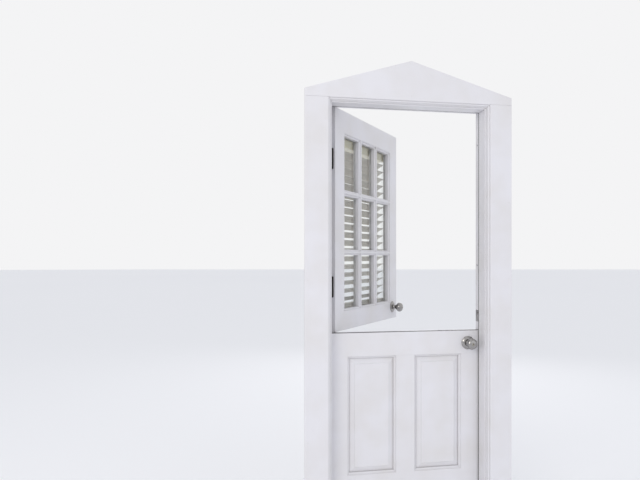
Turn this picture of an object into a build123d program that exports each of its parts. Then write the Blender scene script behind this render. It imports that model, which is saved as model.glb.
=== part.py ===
"""Dutch stable door: two leaves hung one above the other in a painted timber frame.

The upper leaf has nine panes and stands open, the lower leaf has two raised
panels and is shut. Millimetres, +Z up. The origin is on the sill's underside,
at the middle of the doorway, in the plane of the shut leaves' outer faces.
Outdoors is towards -Y, the hinges are on the -X side, and the leaves open
towards +Y.
"""

import os
from math import cos, radians, sin

from build123d import *

os.makedirs("parts", exist_ok=True)

# Leaves
LEAF_W = 762.0
LEAF_T = 44.0
LOWER_H = 952.0
UPPER_H = 1077.0
LEAF_GAP = 3.0
OPEN_ANGLE = 50.3

# Moulded edges of stiles, rails, mullion and muntins
STICK_W = 10.0
STICK_D = 9.0
STICK_STEP = 1.5
STICK_R = STICK_D - STICK_STEP
GROOVE_W = 12.0
GROOVE_D = 12.0
REBATE_W = 8.0
GLASS_Y = 28.0
GLASS_T = 4.0
GLASS_PLAY = 1.5

# Widths of members, from the leaf's edge to the sight line
STILE_W = 105.0
UPPER_TOP_RAIL = 117.0
UPPER_BOTTOM_RAIL = 102.0
LOWER_TOP_RAIL = 122.0
LOWER_BOTTOM_RAIL = 284.0
MULLION_W = 112.0
MUNTIN_W = 28.0
PANE_COLUMNS = 3
PANE_ROWS = 3

# Raised panels
PANEL_FIELD_T = 32.0
PANEL_BEVEL_W = 26.0
PANEL_FIELD_STEP = 1.5
PANEL_PLAY = 2.0
PANEL_SIDE_PLAY = 0.5
PANEL_EDGE_T = 10.6

# Glazing beads
BEAD_R = 6.0

# Frame
JAMB_D = 116.0
JAMB_T = 22.0
STOP_RISE = 9.0
SEAL_GAP = 8.0
ARRIS_R = 2.0
KERF_W = 3.0
KERF_D = 8.0
KERF_IN = 4.5
CASING_W = 110.0
CASING_T = 20.0
CASING_SET = 18.0
CASING_BEARING = 18.0
CASING_RELIEF = 1.6
PEAK_H = 186.0
SHOULDER_H = 36.0
MOULD_W = 12.0
MOULD_T = 14.0

# Sill and threshold
SILL_T = 30.0
SILL_NOSE = 53.0
SILL_FALL = 16.0
SILL_HORN = 20.0
SILL_LEVEL_IN = 12.0
DRIP_W = 5.0
DRIP_SET = 14.0
THRESHOLD_H = 8.0
THRESHOLD_IN = 4.0
THRESHOLD_SIDE = 9.0
FOOT_GAP = 8.0

# Seals
SEAL_W = 8.4
SEAL_T = 7.6
SEAL_PLAY = 0.4
BARB_W = 2.4
BARB_D = 6.0
MEETING_SEAL_W = 10.0
MEETING_SEAL_T = 1.2
MEETING_SEAL_IN = 6.0
SWEEP_T = 2.0
SWEEP_IN = 4.0
SWEEP_PLAY = 0.4
SWEEP_FINS = 3

# Butt hinges
HINGE_H = 102.0
HINGE_W = 42.0
HINGE_PLATE_T = 2.6
HINGE_CORNER_R = 6.0
KNUCKLES = 5
KNUCKLE_R = 6.5
KNUCKLE_GAP = 0.3
PIN_R = 3.75
PIN_PLAY = 0.05
PIN_OUT = 7.0
PIN_HEAD_R = 5.2
PIN_HEAD_H = 4.0
MORTISE_PLAY = 0.2
UPPER_HINGE_TOP = 246.0
UPPER_HINGE_FOOT = 216.0
LOWER_HINGE_TOP = 180.0
LOWER_HINGE_FOOT = 230.0
SCREW_R = 2.4
SCREW_HEAD_R = 4.4
SCREW_ROWS = (-38.0, -13.0, 13.0, 38.0)
SCREW_STAGGER = 5.0
SCREW_IN = 16.0

# Knob locks
BACKSET = 60.0
UPPER_LOCK_UP = 66.0
LOWER_LOCK_DOWN = 60.0
CROSS_BORE_R = 27.0
LATCH_BORE_R = 12.0
LATCH_TUBE_R = 11.6
LATCH_CHANNEL_R = 9.5
LATCH_TUBE_BEYOND = 12.0
FACEPLATE_W = 25.0
FACEPLATE_H = 57.0
FACEPLATE_T = 2.5
FACEPLATE_R = 4.0
BOLT_W = 12.0
BOLT_H = 14.0
BOLT_OUT = 11.0
BOLT_PLAY = 0.4
BOLT_TAIL_R = 4.0
SPINDLE_R = 5.0
SPINDLE_PLAY = 0.6
ROSE_R = 33.0
ROSE_T = 9.0
KNOB_R = 27.0
KNOB_OUT = 62.0
KNOB_NECK_R = 11.0
SHANK_R = 12.9
SHANK_PLAY = 0.1
SHANK_IN = 8.0
PLUG_R = 7.4
PLUG_PLAY = 0.1
PLUG_L = 22.0
KEYWAY_W = 1.8
KEYWAY_H = 9.0
KEYWAY_D = 12.0
BUTTON_SHAFT_R = 3.9
BUTTON_SHAFT_L = 16.0
BUTTON_W = 20.0
BUTTON_H = 11.0
BUTTON_T = 6.0
STRIKE_W = 36.0
STRIKE_H = 57.0
STRIKE_T = 1.6
STRIKE_HOLE_W = 15.0
STRIKE_HOLE_H = 24.0
POCKET_D = 14.0

# Barrel bolt that joins the two leaves
BARREL_IN = 172.0
BARREL_ROD_R = 5.0
BARREL_PLAY = 0.08
BARREL_WALL = 3.0
BARREL_PLATE_W = 34.0
BARREL_PLATE_H = 76.0
BARREL_PLATE_T = 2.5
BARREL_FOOT = 5.0
BARREL_GUIDE_H = 12.0
BARREL_GUIDE_FOOT = 2.0
BARREL_GUIDE_HEAD = 10.0
BARREL_ROD_L = 90.0
BARREL_GRIP_R = 4.0
BARREL_GRIP_OUT = 15.0
KEEPER_H = 40.0

# Slatted blind on the inner face of the upper leaf
BLIND_LAP = 24.0
HEADRAIL_H = 57.0
HEADRAIL_D = 54.0
HEADRAIL_WALL = 1.6
HEADRAIL_DROP = 38.0
BLIND_OFF = 2.0
SLATS = 19
SLAT_W = 50.0
SLAT_T = 2.8
SLAT_CROWN = 2.0
SLAT_TILT = 30.0
SLAT_TOP_GAP = 30.0
SLAT_FOOT_GAP = 25.0
SLAT_SLOT_W = 5.0
SLAT_SLOT_L = 14.0
BOTTOM_RAIL_H = 20.0
BOTTOM_RAIL_D = 46.0
BOTTOM_RAIL_UP = 98.0
BOTTOM_RAIL_R = 4.0
LADDER_IN = 90.0
CORD_R = 0.8
CORD_PLAY = 0.2
WAND_R = 4.5
WAND_L = 420.0
WAND_IN = 50.0
BRACKET_T = 1.6
BRACKET_W = 22.0
HOLD_DOWN_W = 14.0

# Frame fixings
FIXING_ROWS = 4
FIXING_PITCH = 600.0
FIXING_FOOT = 120.0
FIXING_R = 3.0
FIXING_Y = 30.0

# Places worked out from the sizes above
X_HINGE = -LEAF_W / 2
X_LOCK = LEAF_W / 2
Z_FOOT = SILL_T + THRESHOLD_H + FOOT_GAP
Z_MEET = Z_FOOT + LOWER_H
Z_UPPER = Z_MEET + LEAF_GAP
Z_TOP = Z_UPPER + UPPER_H
X_JAMB = LEAF_W / 2 + LEAF_GAP
X_STOP = X_JAMB - STOP_RISE
X_JAMB_BACK = X_JAMB + JAMB_T
Y_JAMB_OUT = LEAF_T - JAMB_D
Z_HEAD = Z_TOP + LEAF_GAP
Z_HEAD_STOP = Z_HEAD - STOP_RISE
X_CASING = X_STOP + CASING_SET
X_CASING_OUT = X_CASING + CASING_W
Y_CASING = Y_JAMB_OUT - CASING_T
Z_CASING = Z_HEAD_STOP + CASING_SET
PIN_X = X_HINGE - LEAF_GAP / 2
PIN_Y = LEAF_T + PIN_OUT
LOCK_X = X_LOCK - BACKSET
MID_Y = LEAF_T / 2
UPPER_LOCK_Z = Z_UPPER + UPPER_LOCK_UP
LOWER_LOCK_Z = Z_MEET - LOWER_LOCK_DOWN
UPPER_HINGES = (Z_UPPER + UPPER_HINGE_FOOT, Z_TOP - UPPER_HINGE_TOP)
LOWER_HINGES = (Z_FOOT + LOWER_HINGE_FOOT, Z_MEET - LOWER_HINGE_TOP)
X_GLASS = X_LOCK - STILE_W
Z_GLASS_LOW = Z_UPPER + UPPER_BOTTOM_RAIL
Z_GLASS_HIGH = Z_TOP - UPPER_TOP_RAIL
BLIND_W = 2 * (X_GLASS + BLIND_LAP)
PANE_W = (2 * X_GLASS - (PANE_COLUMNS - 1) * MUNTIN_W) / PANE_COLUMNS
PANE_H = (Z_GLASS_HIGH - Z_GLASS_LOW - (PANE_ROWS - 1) * MUNTIN_W) / PANE_ROWS

# The upper leaf is drawn shut, and this turns it about its hinge pins to where it stands
OPEN = Pos(PIN_X, PIN_Y, 0) * Rot(0, 0, OPEN_ANGLE) * Pos(-PIN_X, -PIN_Y, 0)


def save(name, solid, place=None):
    """Write one finished piece, set in its place, to parts/name.step."""
    placed = solid if place is None else place * solid
    placed.label = name
    export_step(placed, f"parts/{name}.step")


def edge_lines(kind, sight, side):
    """Draw one long edge of a member, from the outer face to the inner face.

    kind is square, panel or glazed, sight is the sight line's place across the
    member, and side is +1 or -1, the way that the edge faces.
    """
    face = sight - side * STICK_W
    if kind == "square":
        Line((sight, 0), (sight, LEAF_T))
        return
    Polyline((face, 0), (face, STICK_STEP), (sight - side * STICK_R, STICK_STEP))
    RadiusArc((sight - side * STICK_R, STICK_STEP), (sight, STICK_D), side * STICK_R)
    if kind == "glazed":
        rebate = sight - side * REBATE_W
        Polyline((sight, STICK_D), (sight, GLASS_Y), (rebate, GLASS_Y), (rebate, LEAF_T))
        return
    low = MID_Y - GROOVE_W / 2
    high = MID_Y + GROOVE_W / 2
    deep = sight - side * GROOVE_D
    inner = LEAF_T - STICK_D
    Polyline((sight, STICK_D), (sight, low), (deep, low), (deep, high), (sight, high), (sight, inner))
    RadiusArc((sight, inner), (sight - side * STICK_R, LEAF_T - STICK_STEP), side * STICK_R)
    Polyline((sight - side * STICK_R, LEAF_T - STICK_STEP), (face, LEAF_T - STICK_STEP), (face, LEAF_T))


def member_section(plane, low, low_kind, high, high_kind):
    """Section of a stile, rail, mullion or muntin between two edges, drawn on a plane."""

    def face_end(sight, kind, side):
        return sight if kind == "square" else sight - side * STICK_W

    def back_end(sight, kind, side):
        return sight - side * REBATE_W if kind == "glazed" else face_end(sight, kind, side)

    with BuildSketch(plane) as section:
        with BuildLine():
            edge_lines(low_kind, low, -1)
            edge_lines(high_kind, high, 1)
            Line((face_end(low, low_kind, -1), 0), (face_end(high, high_kind, 1), 0))
            Line((back_end(low, low_kind, -1), LEAF_T), (back_end(high, high_kind, 1), LEAF_T))
        make_face()
    return section.sketch


def across(x):
    """Plane that looks along +X at x, with Z across the sketch and Y up it, for rails."""
    return Plane(origin=(x, 0, 0), x_dir=(0, 0, 1), z_dir=(-1, 0, 0))


def hinge_mortises(levels):
    """Tools that cut the seats of the hinge plates, for leaf or jamb, centred on the gap."""
    with BuildPart() as tools:
        for z in levels:
            with BuildSketch(Plane.YZ.offset(PIN_X)):
                with Locations((PIN_Y - HINGE_W / 2, z)):
                    RectangleRounded(
                        HINGE_W + 2 * MORTISE_PLAY, HINGE_H + 2 * MORTISE_PLAY, HINGE_CORNER_R
                    )
            extrude(amount=LEAF_GAP / 2 + HINGE_PLATE_T, both=True)
    return tools.part


def lock_bores(z):
    """Tools that cut one lock's cross bore, latch bore and faceplate seat in a lock stile."""
    with BuildPart() as tools:
        with Locations(Location((LOCK_X, MID_Y, z), (90, 0, 0))):
            Cylinder(CROSS_BORE_R, LEAF_T)
        with Locations(Location((LOCK_X, MID_Y, z), (0, 90, 0))):
            Cylinder(LATCH_BORE_R, BACKSET, align=(Align.CENTER, Align.CENTER, Align.MIN))
        with BuildSketch(Plane.YZ.offset(X_LOCK - FACEPLATE_T)):
            with Locations((MID_Y, z)):
                RectangleRounded(
                    FACEPLATE_W + 2 * MORTISE_PLAY, FACEPLATE_H + 2 * MORTISE_PLAY, FACEPLATE_R
                )
        extrude(amount=FACEPLATE_T)
    return tools.part


# Sill: level under the leaves, then falling to a nose with horns beyond the casings
Y_NOSE = Y_JAMB_OUT - SILL_NOSE
X_SILL = X_CASING_OUT + SILL_HORN
SILL_NOSE_H = SILL_T - SILL_FALL
with BuildPart() as sill:
    with BuildSketch(Plane.YZ.offset(-X_SILL)):
        with BuildLine():
            Polyline(
                (LEAF_T, 0),
                (LEAF_T, SILL_T),
                (-SILL_LEVEL_IN, SILL_T),
                (Y_NOSE, SILL_NOSE_H),
                (Y_NOSE, 0),
                (Y_NOSE + DRIP_SET, 0),
                (Y_NOSE + DRIP_SET, DRIP_W),
                (Y_NOSE + DRIP_SET + DRIP_W, DRIP_W),
                (Y_NOSE + DRIP_SET + DRIP_W, 0),
                close=True,
            )
        make_face()
    extrude(amount=2 * X_SILL)
    for side in (-1, 1):
        with BuildSketch(Plane.XY):
            with Locations((side * (X_JAMB_BACK + X_SILL) / 2, (Y_JAMB_OUT + LEAF_T) / 2)):
                Rectangle(X_SILL - X_JAMB_BACK, LEAF_T - Y_JAMB_OUT)
        extrude(amount=SILL_T, mode=Mode.SUBTRACT)
    fillet(sill.edges().filter_by(Axis.X).group_by(Axis.Y)[0].sort_by(Axis.Z)[-1], radius=ARRIS_R * 2)
save("sill", sill.part)

# Threshold: a ribbed saddle under the shut leaf
with BuildPart() as threshold:
    with BuildSketch(Plane.YZ.offset(-X_JAMB + MORTISE_PLAY)):
        with BuildLine():
            Polyline(
                (THRESHOLD_IN, SILL_T),
                (THRESHOLD_IN + THRESHOLD_SIDE, SILL_T + THRESHOLD_H),
                (LEAF_T - THRESHOLD_SIDE, SILL_T + THRESHOLD_H),
                (LEAF_T, SILL_T),
                close=True,
            )
        make_face()
        with Locations((MID_Y, SILL_T + THRESHOLD_H)):
            with GridLocations(2 * THRESHOLD_IN, 1, 2, 1):
                Rectangle(THRESHOLD_IN / 2, THRESHOLD_IN / 2, mode=Mode.SUBTRACT)
    extrude(amount=2 * (X_JAMB - MORTISE_PLAY))
save("threshold", threshold.part)


# Jambs: plain boards stood on the sill, joined by a head board across their tops
FIXING_LEVELS = [FIXING_FOOT + row * FIXING_PITCH for row in range(FIXING_ROWS)]


def jamb_board(side):
    """A jamb as a plain board with its frame screws' holes; side is -1 at the hinges."""
    with BuildPart() as board:
        with BuildSketch(Plane.XY):
            with Locations((side * (X_JAMB + X_JAMB_BACK) / 2, (Y_JAMB_OUT + LEAF_T) / 2)):
                Rectangle(JAMB_T, JAMB_D)
        extrude(amount=Z_HEAD)
        add(sill.part, mode=Mode.SUBTRACT)
        for level in FIXING_LEVELS:
            with Locations(Location((side * X_JAMB, FIXING_Y, level), (0, -side * 90, 0))):
                CounterSinkHole(FIXING_R, FIXING_R * 2, depth=JAMB_T)
    return board.part


with BuildPart() as hinge_jamb:
    add(jamb_board(-1))
    add(hinge_mortises(UPPER_HINGES + LOWER_HINGES), mode=Mode.SUBTRACT)
save("hinge_jamb", hinge_jamb.part)

with BuildPart() as strike_jamb:
    add(jamb_board(1))
    for z in (UPPER_LOCK_Z, LOWER_LOCK_Z):
        with BuildSketch(Plane.YZ.offset(X_JAMB)):
            with Locations((LEAF_T - STRIKE_W / 2, z)):
                RectangleRounded(
                    STRIKE_W + 2 * MORTISE_PLAY, STRIKE_H + 2 * MORTISE_PLAY, FACEPLATE_R
                )
        extrude(amount=STRIKE_T, mode=Mode.SUBTRACT)
        with BuildSketch(Plane.YZ.offset(X_JAMB)):
            with Locations((MID_Y, z)):
                Rectangle(STRIKE_HOLE_W, STRIKE_HOLE_H)
        extrude(amount=POCKET_D, mode=Mode.SUBTRACT)
save("strike_jamb", strike_jamb.part)

with BuildPart() as head_jamb:
    with BuildSketch(Plane.YZ.offset(-X_JAMB_BACK)):
        with Locations(((Y_JAMB_OUT + LEAF_T) / 2, Z_HEAD + JAMB_T / 2)):
            Rectangle(JAMB_D, JAMB_T)
    extrude(amount=2 * X_JAMB_BACK)
save("head_jamb", head_jamb.part)


# Door stops: strips planted on jambs and head, each with a kerf for the seal
def stop_section(plane, face, way):
    """Section of a stop: face is its open face's place and way points at its board."""
    with BuildSketch(plane) as section:
        with Locations((face + way * STOP_RISE / 2, (Y_JAMB_OUT - SEAL_GAP) / 2)):
            Rectangle(STOP_RISE, -SEAL_GAP - Y_JAMB_OUT)
        with Locations((face + way * KERF_IN, -SEAL_GAP - KERF_D / 2)):
            Rectangle(KERF_W, KERF_D, mode=Mode.SUBTRACT)
        outer_corners = section.vertices().sort_by_distance((face, Y_JAMB_OUT))
        if plane.z_dir.Z == 0:
            outer_corners = section.vertices().sort_by_distance((0, Y_JAMB_OUT, face))
        fillet(outer_corners[0], radius=ARRIS_R)
    return section.sketch


stop_strips = []
for side in (-1, 1):
    with BuildPart() as side_stop:
        extrude(stop_section(Plane.XY, side * X_STOP, side), amount=Z_HEAD)
        add(sill.part, mode=Mode.SUBTRACT)
    stop_strips.append(side_stop.part)
with BuildPart() as head_stop:
    extrude(stop_section(across(X_STOP), Z_HEAD_STOP, 1), amount=2 * X_STOP)
stop_strips.append(head_stop.part)
save("door_stops", Compound(stop_strips))

# Casings: boards on the jambs' outer edges, relieved behind, and a peaked board over them
for name, side in (("casing_left", -1), ("casing_right", 1)):
    with BuildPart() as casing:
        with BuildSketch(Plane.XY):
            with Locations((side * (X_CASING + CASING_W / 2), Y_JAMB_OUT - CASING_T / 2)):
                Rectangle(CASING_W, CASING_T)
        extrude(amount=Z_CASING)
        fillet(casing.edges().filter_by(Axis.Z).group_by(Axis.Y)[0], radius=ARRIS_R)
        with BuildSketch(Plane.XY):
            with Locations((side * (X_CASING + CASING_W / 2), Y_JAMB_OUT)):
                Rectangle(CASING_W - 2 * CASING_BEARING, 2 * CASING_RELIEF)
        extrude(amount=Z_CASING, mode=Mode.SUBTRACT)
        add(sill.part, mode=Mode.SUBTRACT)
    save(name, casing.part)

with BuildPart() as head_casing:
    with BuildSketch(Plane.XZ.offset(-Y_JAMB_OUT)):
        with BuildLine():
            Polyline(
                (-X_CASING_OUT, Z_CASING),
                (X_CASING_OUT, Z_CASING),
                (X_CASING_OUT, Z_CASING + SHOULDER_H),
                (0, Z_CASING + PEAK_H),
                (-X_CASING_OUT, Z_CASING + SHOULDER_H),
                close=True,
            )
        make_face()
    extrude(amount=CASING_T)
    fillet(head_casing.faces().sort_by(Axis.Y)[0].edges(), radius=ARRIS_R)
save("head_casing", head_casing.part)


# Moulds: a stepped strip with a round nose in the corner of casing and jamb, mitred at the head
def mould_section(plane, corner):
    """Section of a mould in a plane whose first axis runs towards the casing."""
    nose_in = corner + MOULD_W / 3
    nose_out = corner + MOULD_W * 3 / 4
    with BuildSketch(plane) as section:
        with BuildLine():
            Polyline((corner + MOULD_W, 0), (corner, 0), (corner, MOULD_T / 2), (nose_in, MOULD_T / 2))
            ThreePointArc(
                (nose_in, MOULD_T / 2), (nose_in + MOULD_W / 12, MOULD_T * 0.86), (nose_out, MOULD_T)
            )
            Polyline((nose_out, MOULD_T), (corner + MOULD_W, MOULD_T), (corner + MOULD_W, 0))
        make_face()
    return section.sketch


X_MOULD = X_CASING - MOULD_W
Z_MOULD = Z_CASING - MOULD_W
for name, side in (("mould_left", -1), ("mould_right", 1)):
    mitre = Plane(origin=(side * X_MOULD, 0, Z_MOULD), z_dir=(side, 0, -1))
    plan = Plane(origin=(0, Y_JAMB_OUT, 0), x_dir=(side, 0, 0), z_dir=(0, 0, -side))
    with BuildPart() as mould:
        extrude(mould_section(plan, X_MOULD), amount=-side * Z_CASING)
        split(bisect_by=mitre, keep=Keep.TOP)
        add(sill.part, mode=Mode.SUBTRACT)
    save(name, mould.part)

with BuildPart() as mould_head:
    extrude(
        mould_section(
            Plane(origin=(-X_CASING, Y_JAMB_OUT, 0), x_dir=(0, 0, 1), z_dir=(1, 0, 0)), Z_MOULD
        ),
        amount=2 * X_CASING,
    )
    for side in (-1, 1):
        split(
            bisect_by=Plane(origin=(side * X_MOULD, 0, Z_MOULD), z_dir=(side, 0, -1)),
            keep=Keep.BOTTOM,
        )
save("mould_head", mould_head.part)


# Weatherstrip: a soft bulb with a barb in the stop's kerf, on both jambs and the head
def seal_section(plane, kerf):
    """Section of the bulb seal, with the kerf's place along the plane's first axis."""
    with BuildSketch(plane) as section:
        with Locations((kerf, SEAL_T / 2)):
            RectangleRounded(SEAL_W, SEAL_T, SEAL_T * 0.4)
        with Locations((kerf, SEAL_T * 0.2)):
            Rectangle(SEAL_W, SEAL_T * 0.4)
        with Locations((kerf, -BARB_D / 2)):
            Rectangle(BARB_W, BARB_D)
    return section.sketch


seal_lengths = []
for side in (-1, 1):
    upright = Plane(origin=(0, -SEAL_GAP, SILL_T), x_dir=(1, 0, 0), z_dir=(0, 0, 1))
    with BuildPart() as side_seal:
        extrude(seal_section(upright, side * (X_STOP + KERF_IN)), amount=Z_HEAD - SILL_T)
    seal_lengths.append(side_seal.part)
with BuildPart() as head_seal:
    level = Plane(origin=(-X_STOP, -SEAL_GAP, 0), x_dir=(0, 0, 1), z_dir=(-1, 0, 0))
    extrude(seal_section(level, Z_HEAD_STOP + KERF_IN), amount=-2 * X_STOP)
seal_lengths.append(head_seal.part)
save("weatherstrip", Compound(seal_lengths))

# Strike plates, let into the strike jamb
strike_plates = []
for z in (UPPER_LOCK_Z, LOWER_LOCK_Z):
    with BuildPart() as strike:
        with BuildSketch(Plane.YZ.offset(X_JAMB)):
            with Locations((LEAF_T - STRIKE_W / 2 - MORTISE_PLAY, z)):
                RectangleRounded(STRIKE_W, STRIKE_H, FACEPLATE_R)
            with Locations((MID_Y, z)):
                Rectangle(STRIKE_HOLE_W, STRIKE_HOLE_H, mode=Mode.SUBTRACT)
        extrude(amount=STRIKE_T)
        for hole_z in (z - STRIKE_H / 3, z + STRIKE_H / 3):
            with Locations(Location((X_JAMB, MID_Y, hole_z), (0, -90, 0))):
                CounterSinkHole(SCREW_R, SCREW_HEAD_R * 0.8, depth=STRIKE_T)
    strike_plates.append(strike.part)
save("strike_plates", Compound(strike_plates))


# Hinges: plates let into leaf and jamb, with knuckles shared in turn along one pin
def hinge_plate(z, side, knuckles):
    """One plate of a hinge at height z; side is +1 on the leaf and -1 on the jamb."""
    face_x = PIN_X + side * LEAF_GAP / 2
    pitch = HINGE_H / KNUCKLES
    low = z - HINGE_H / 2
    mine = [low + pitch * (index + 0.5) for index in knuckles]
    others = [low + pitch * (index + 0.5) for index in range(KNUCKLES) if index not in knuckles]
    with BuildPart() as plate:
        with BuildSketch(Plane.YZ.offset(face_x)):
            with Locations((PIN_Y - HINGE_W / 2, z)):
                RectangleRounded(HINGE_W, HINGE_H, HINGE_CORNER_R)
            with Locations((PIN_Y - KNUCKLE_R / 2, z)):
                Rectangle(KNUCKLE_R, HINGE_H)
        extrude(amount=side * HINGE_PLATE_T)
        with Locations(*[(PIN_X, PIN_Y, level) for level in others]):
            Cylinder(KNUCKLE_R + KNUCKLE_GAP, pitch + KNUCKLE_GAP, mode=Mode.SUBTRACT)
        with Locations(*[(PIN_X, PIN_Y, level) for level in mine]):
            Cylinder(KNUCKLE_R, pitch - KNUCKLE_GAP)
        with Locations((PIN_X, PIN_Y, z)):
            Cylinder(PIN_R + PIN_PLAY, HINGE_H + KNUCKLE_GAP, mode=Mode.SUBTRACT)
        for index, row in enumerate(SCREW_ROWS):
            shift = SCREW_STAGGER if index in (0, KNUCKLES - 2) else -SCREW_STAGGER
            hole_y = PIN_Y - HINGE_W + SCREW_IN + shift
            with Locations(Location((face_x, hole_y, z + row), (0, -side * 90, 0))):
                CounterSinkHole(SCREW_R, SCREW_HEAD_R, depth=HINGE_PLATE_T)
    return plate.part


FRAME_KNUCKLES = range(0, KNUCKLES, 2)
LEAF_KNUCKLES = range(1, KNUCKLES, 2)
jamb_plates = [hinge_plate(z, -1, FRAME_KNUCKLES) for z in UPPER_HINGES + LOWER_HINGES]
save("hinge_plates_jamb", Compound(jamb_plates))
save("upper_hinge_plates", Compound([hinge_plate(z, 1, LEAF_KNUCKLES) for z in UPPER_HINGES]), OPEN)
save("lower_hinge_plates", Compound([hinge_plate(z, 1, LEAF_KNUCKLES) for z in LOWER_HINGES]))

with BuildPart() as hinge_pins:
    for z in UPPER_HINGES + LOWER_HINGES:
        with BuildSketch(Plane.XY.offset(z - HINGE_H / 2)):
            with Locations((PIN_X, PIN_Y)):
                Circle(PIN_R)
        extrude(amount=HINGE_H)
        with BuildSketch(Plane.XY.offset(z + HINGE_H / 2)):
            with Locations((PIN_X, PIN_Y)):
                Circle(PIN_HEAD_R)
        extrude(amount=PIN_HEAD_H)
    head_rims = hinge_pins.edges().filter_by(GeomType.CIRCLE).filter_by(
        lambda rim: abs(rim.radius - PIN_HEAD_R) < PIN_PLAY and min(
            abs(rim.center().Z - z - HINGE_H / 2 - PIN_HEAD_H) for z in UPPER_HINGES + LOWER_HINGES
        ) < PIN_PLAY
    )
    fillet(head_rims, radius=PIN_HEAD_H * 0.6)
save("hinge_pins", hinge_pins.part)

# Upper leaf: stiles run full height, rails are coped over their moulded edges
STILE_EDGE = X_LOCK - STILE_W
with BuildPart() as upper_hinge_stile:
    extrude(
        member_section(Plane.XY.offset(Z_UPPER), X_HINGE, "square", -STILE_EDGE, "glazed"),
        amount=UPPER_H,
    )
    upper_hinge_edge = upper_hinge_stile.part
    add(hinge_mortises(UPPER_HINGES), mode=Mode.SUBTRACT)

with BuildPart() as upper_lock_stile:
    extrude(
        member_section(Plane.XY.offset(Z_UPPER), STILE_EDGE, "glazed", X_LOCK, "square"),
        amount=UPPER_H,
    )
    add(lock_bores(UPPER_LOCK_Z), mode=Mode.SUBTRACT)

RAIL_REACH = STILE_EDGE + STICK_W
MEETING_SEAL_Y = LEAF_T - MEETING_SEAL_IN - MEETING_SEAL_W / 2
with BuildPart() as upper_bottom_rail:
    extrude(
        member_section(across(RAIL_REACH), Z_UPPER, "square", Z_GLASS_LOW, "glazed"),
        amount=2 * RAIL_REACH,
    )
    add(upper_hinge_stile.part, mode=Mode.SUBTRACT)
    add(upper_lock_stile.part, mode=Mode.SUBTRACT)

with BuildPart() as upper_top_rail:
    extrude(
        member_section(across(RAIL_REACH), Z_GLASS_HIGH, "glazed", Z_TOP, "square"),
        amount=2 * RAIL_REACH,
    )
    add(upper_hinge_stile.part, mode=Mode.SUBTRACT)
    add(upper_lock_stile.part, mode=Mode.SUBTRACT)

# Muntins: two upright bars, and cross bars coped between them
MUNTIN_XS = [
    -X_GLASS + (column + 1) * PANE_W + (column + 0.5) * MUNTIN_W for column in range(PANE_COLUMNS - 1)
]
MUNTIN_ZS = [
    Z_GLASS_LOW + (row + 1) * PANE_H + (row + 0.5) * MUNTIN_W for row in range(PANE_ROWS - 1)
]
with BuildPart() as muntin_uprights:
    for x in MUNTIN_XS:
        extrude(
            member_section(
                Plane.XY.offset(Z_GLASS_LOW - STICK_W), x - MUNTIN_W / 2, "glazed", x + MUNTIN_W / 2, "glazed"
            ),
            amount=Z_GLASS_HIGH - Z_GLASS_LOW + 2 * STICK_W,
        )
    add(upper_bottom_rail.part, mode=Mode.SUBTRACT)
    add(upper_top_rail.part, mode=Mode.SUBTRACT)

with BuildPart() as muntin_cross_bars:
    for z in MUNTIN_ZS:
        extrude(
            member_section(across(RAIL_REACH), z - MUNTIN_W / 2, "glazed", z + MUNTIN_W / 2, "glazed"),
            amount=2 * RAIL_REACH,
        )
    add(muntin_uprights.part, mode=Mode.SUBTRACT)
    add(upper_hinge_stile.part, mode=Mode.SUBTRACT)
    add(upper_lock_stile.part, mode=Mode.SUBTRACT)

# Groove for the seal in the upper leaf's bottom edge
with BuildPart() as upper_seal_groove:
    with BuildSketch(Plane.XY.offset(Z_UPPER)):
        with Locations((0, MEETING_SEAL_Y)):
            Rectangle(LEAF_W, KERF_W)
    extrude(amount=KERF_D)

with BuildPart() as upper_bottom_seal:
    with BuildSketch(Plane.XY.offset(Z_UPPER)):
        with Locations((0, MEETING_SEAL_Y)):
            Rectangle(LEAF_W, MEETING_SEAL_W)
    extrude(amount=-MEETING_SEAL_T)
    with BuildSketch(Plane.XY.offset(Z_UPPER)):
        with Locations((0, MEETING_SEAL_Y)):
            Rectangle(LEAF_W, BARB_W)
    extrude(amount=BARB_D)

for name, member in (
    ("upper_hinge_stile", upper_hinge_stile),
    ("upper_lock_stile", upper_lock_stile),
    ("upper_bottom_rail", upper_bottom_rail),
):
    with BuildPart() as grooved:
        add(member.part)
        add(upper_seal_groove.part, mode=Mode.SUBTRACT)
    save(name, grooved.part, OPEN)
save("upper_top_rail", upper_top_rail.part, OPEN)
save("upper_muntins", Compound([*muntin_uprights.solids(), *muntin_cross_bars.solids()]), OPEN)
save("upper_bottom_seal", upper_bottom_seal.part, OPEN)

# Panes and the mitred beads that hold them, seen from indoors
PANE_XS = [-X_GLASS + PANE_W / 2 + column * (PANE_W + MUNTIN_W) for column in range(PANE_COLUMNS)]
PANE_ZS = [Z_GLASS_LOW + PANE_H / 2 + row * (PANE_H + MUNTIN_W) for row in range(PANE_ROWS)]
GLASS_LAP = 2 * (REBATE_W - GLASS_PLAY)
with BuildPart() as upper_glass_panes:
    with BuildSketch(Plane.XZ.offset(-GLASS_Y - GLASS_T)):
        with Locations(*[(x, z) for x in PANE_XS for z in PANE_ZS]):
            Rectangle(PANE_W + GLASS_LAP, PANE_H + GLASS_LAP)
    extrude(amount=GLASS_T)
save("upper_glass_panes", upper_glass_panes.part, OPEN)


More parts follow.
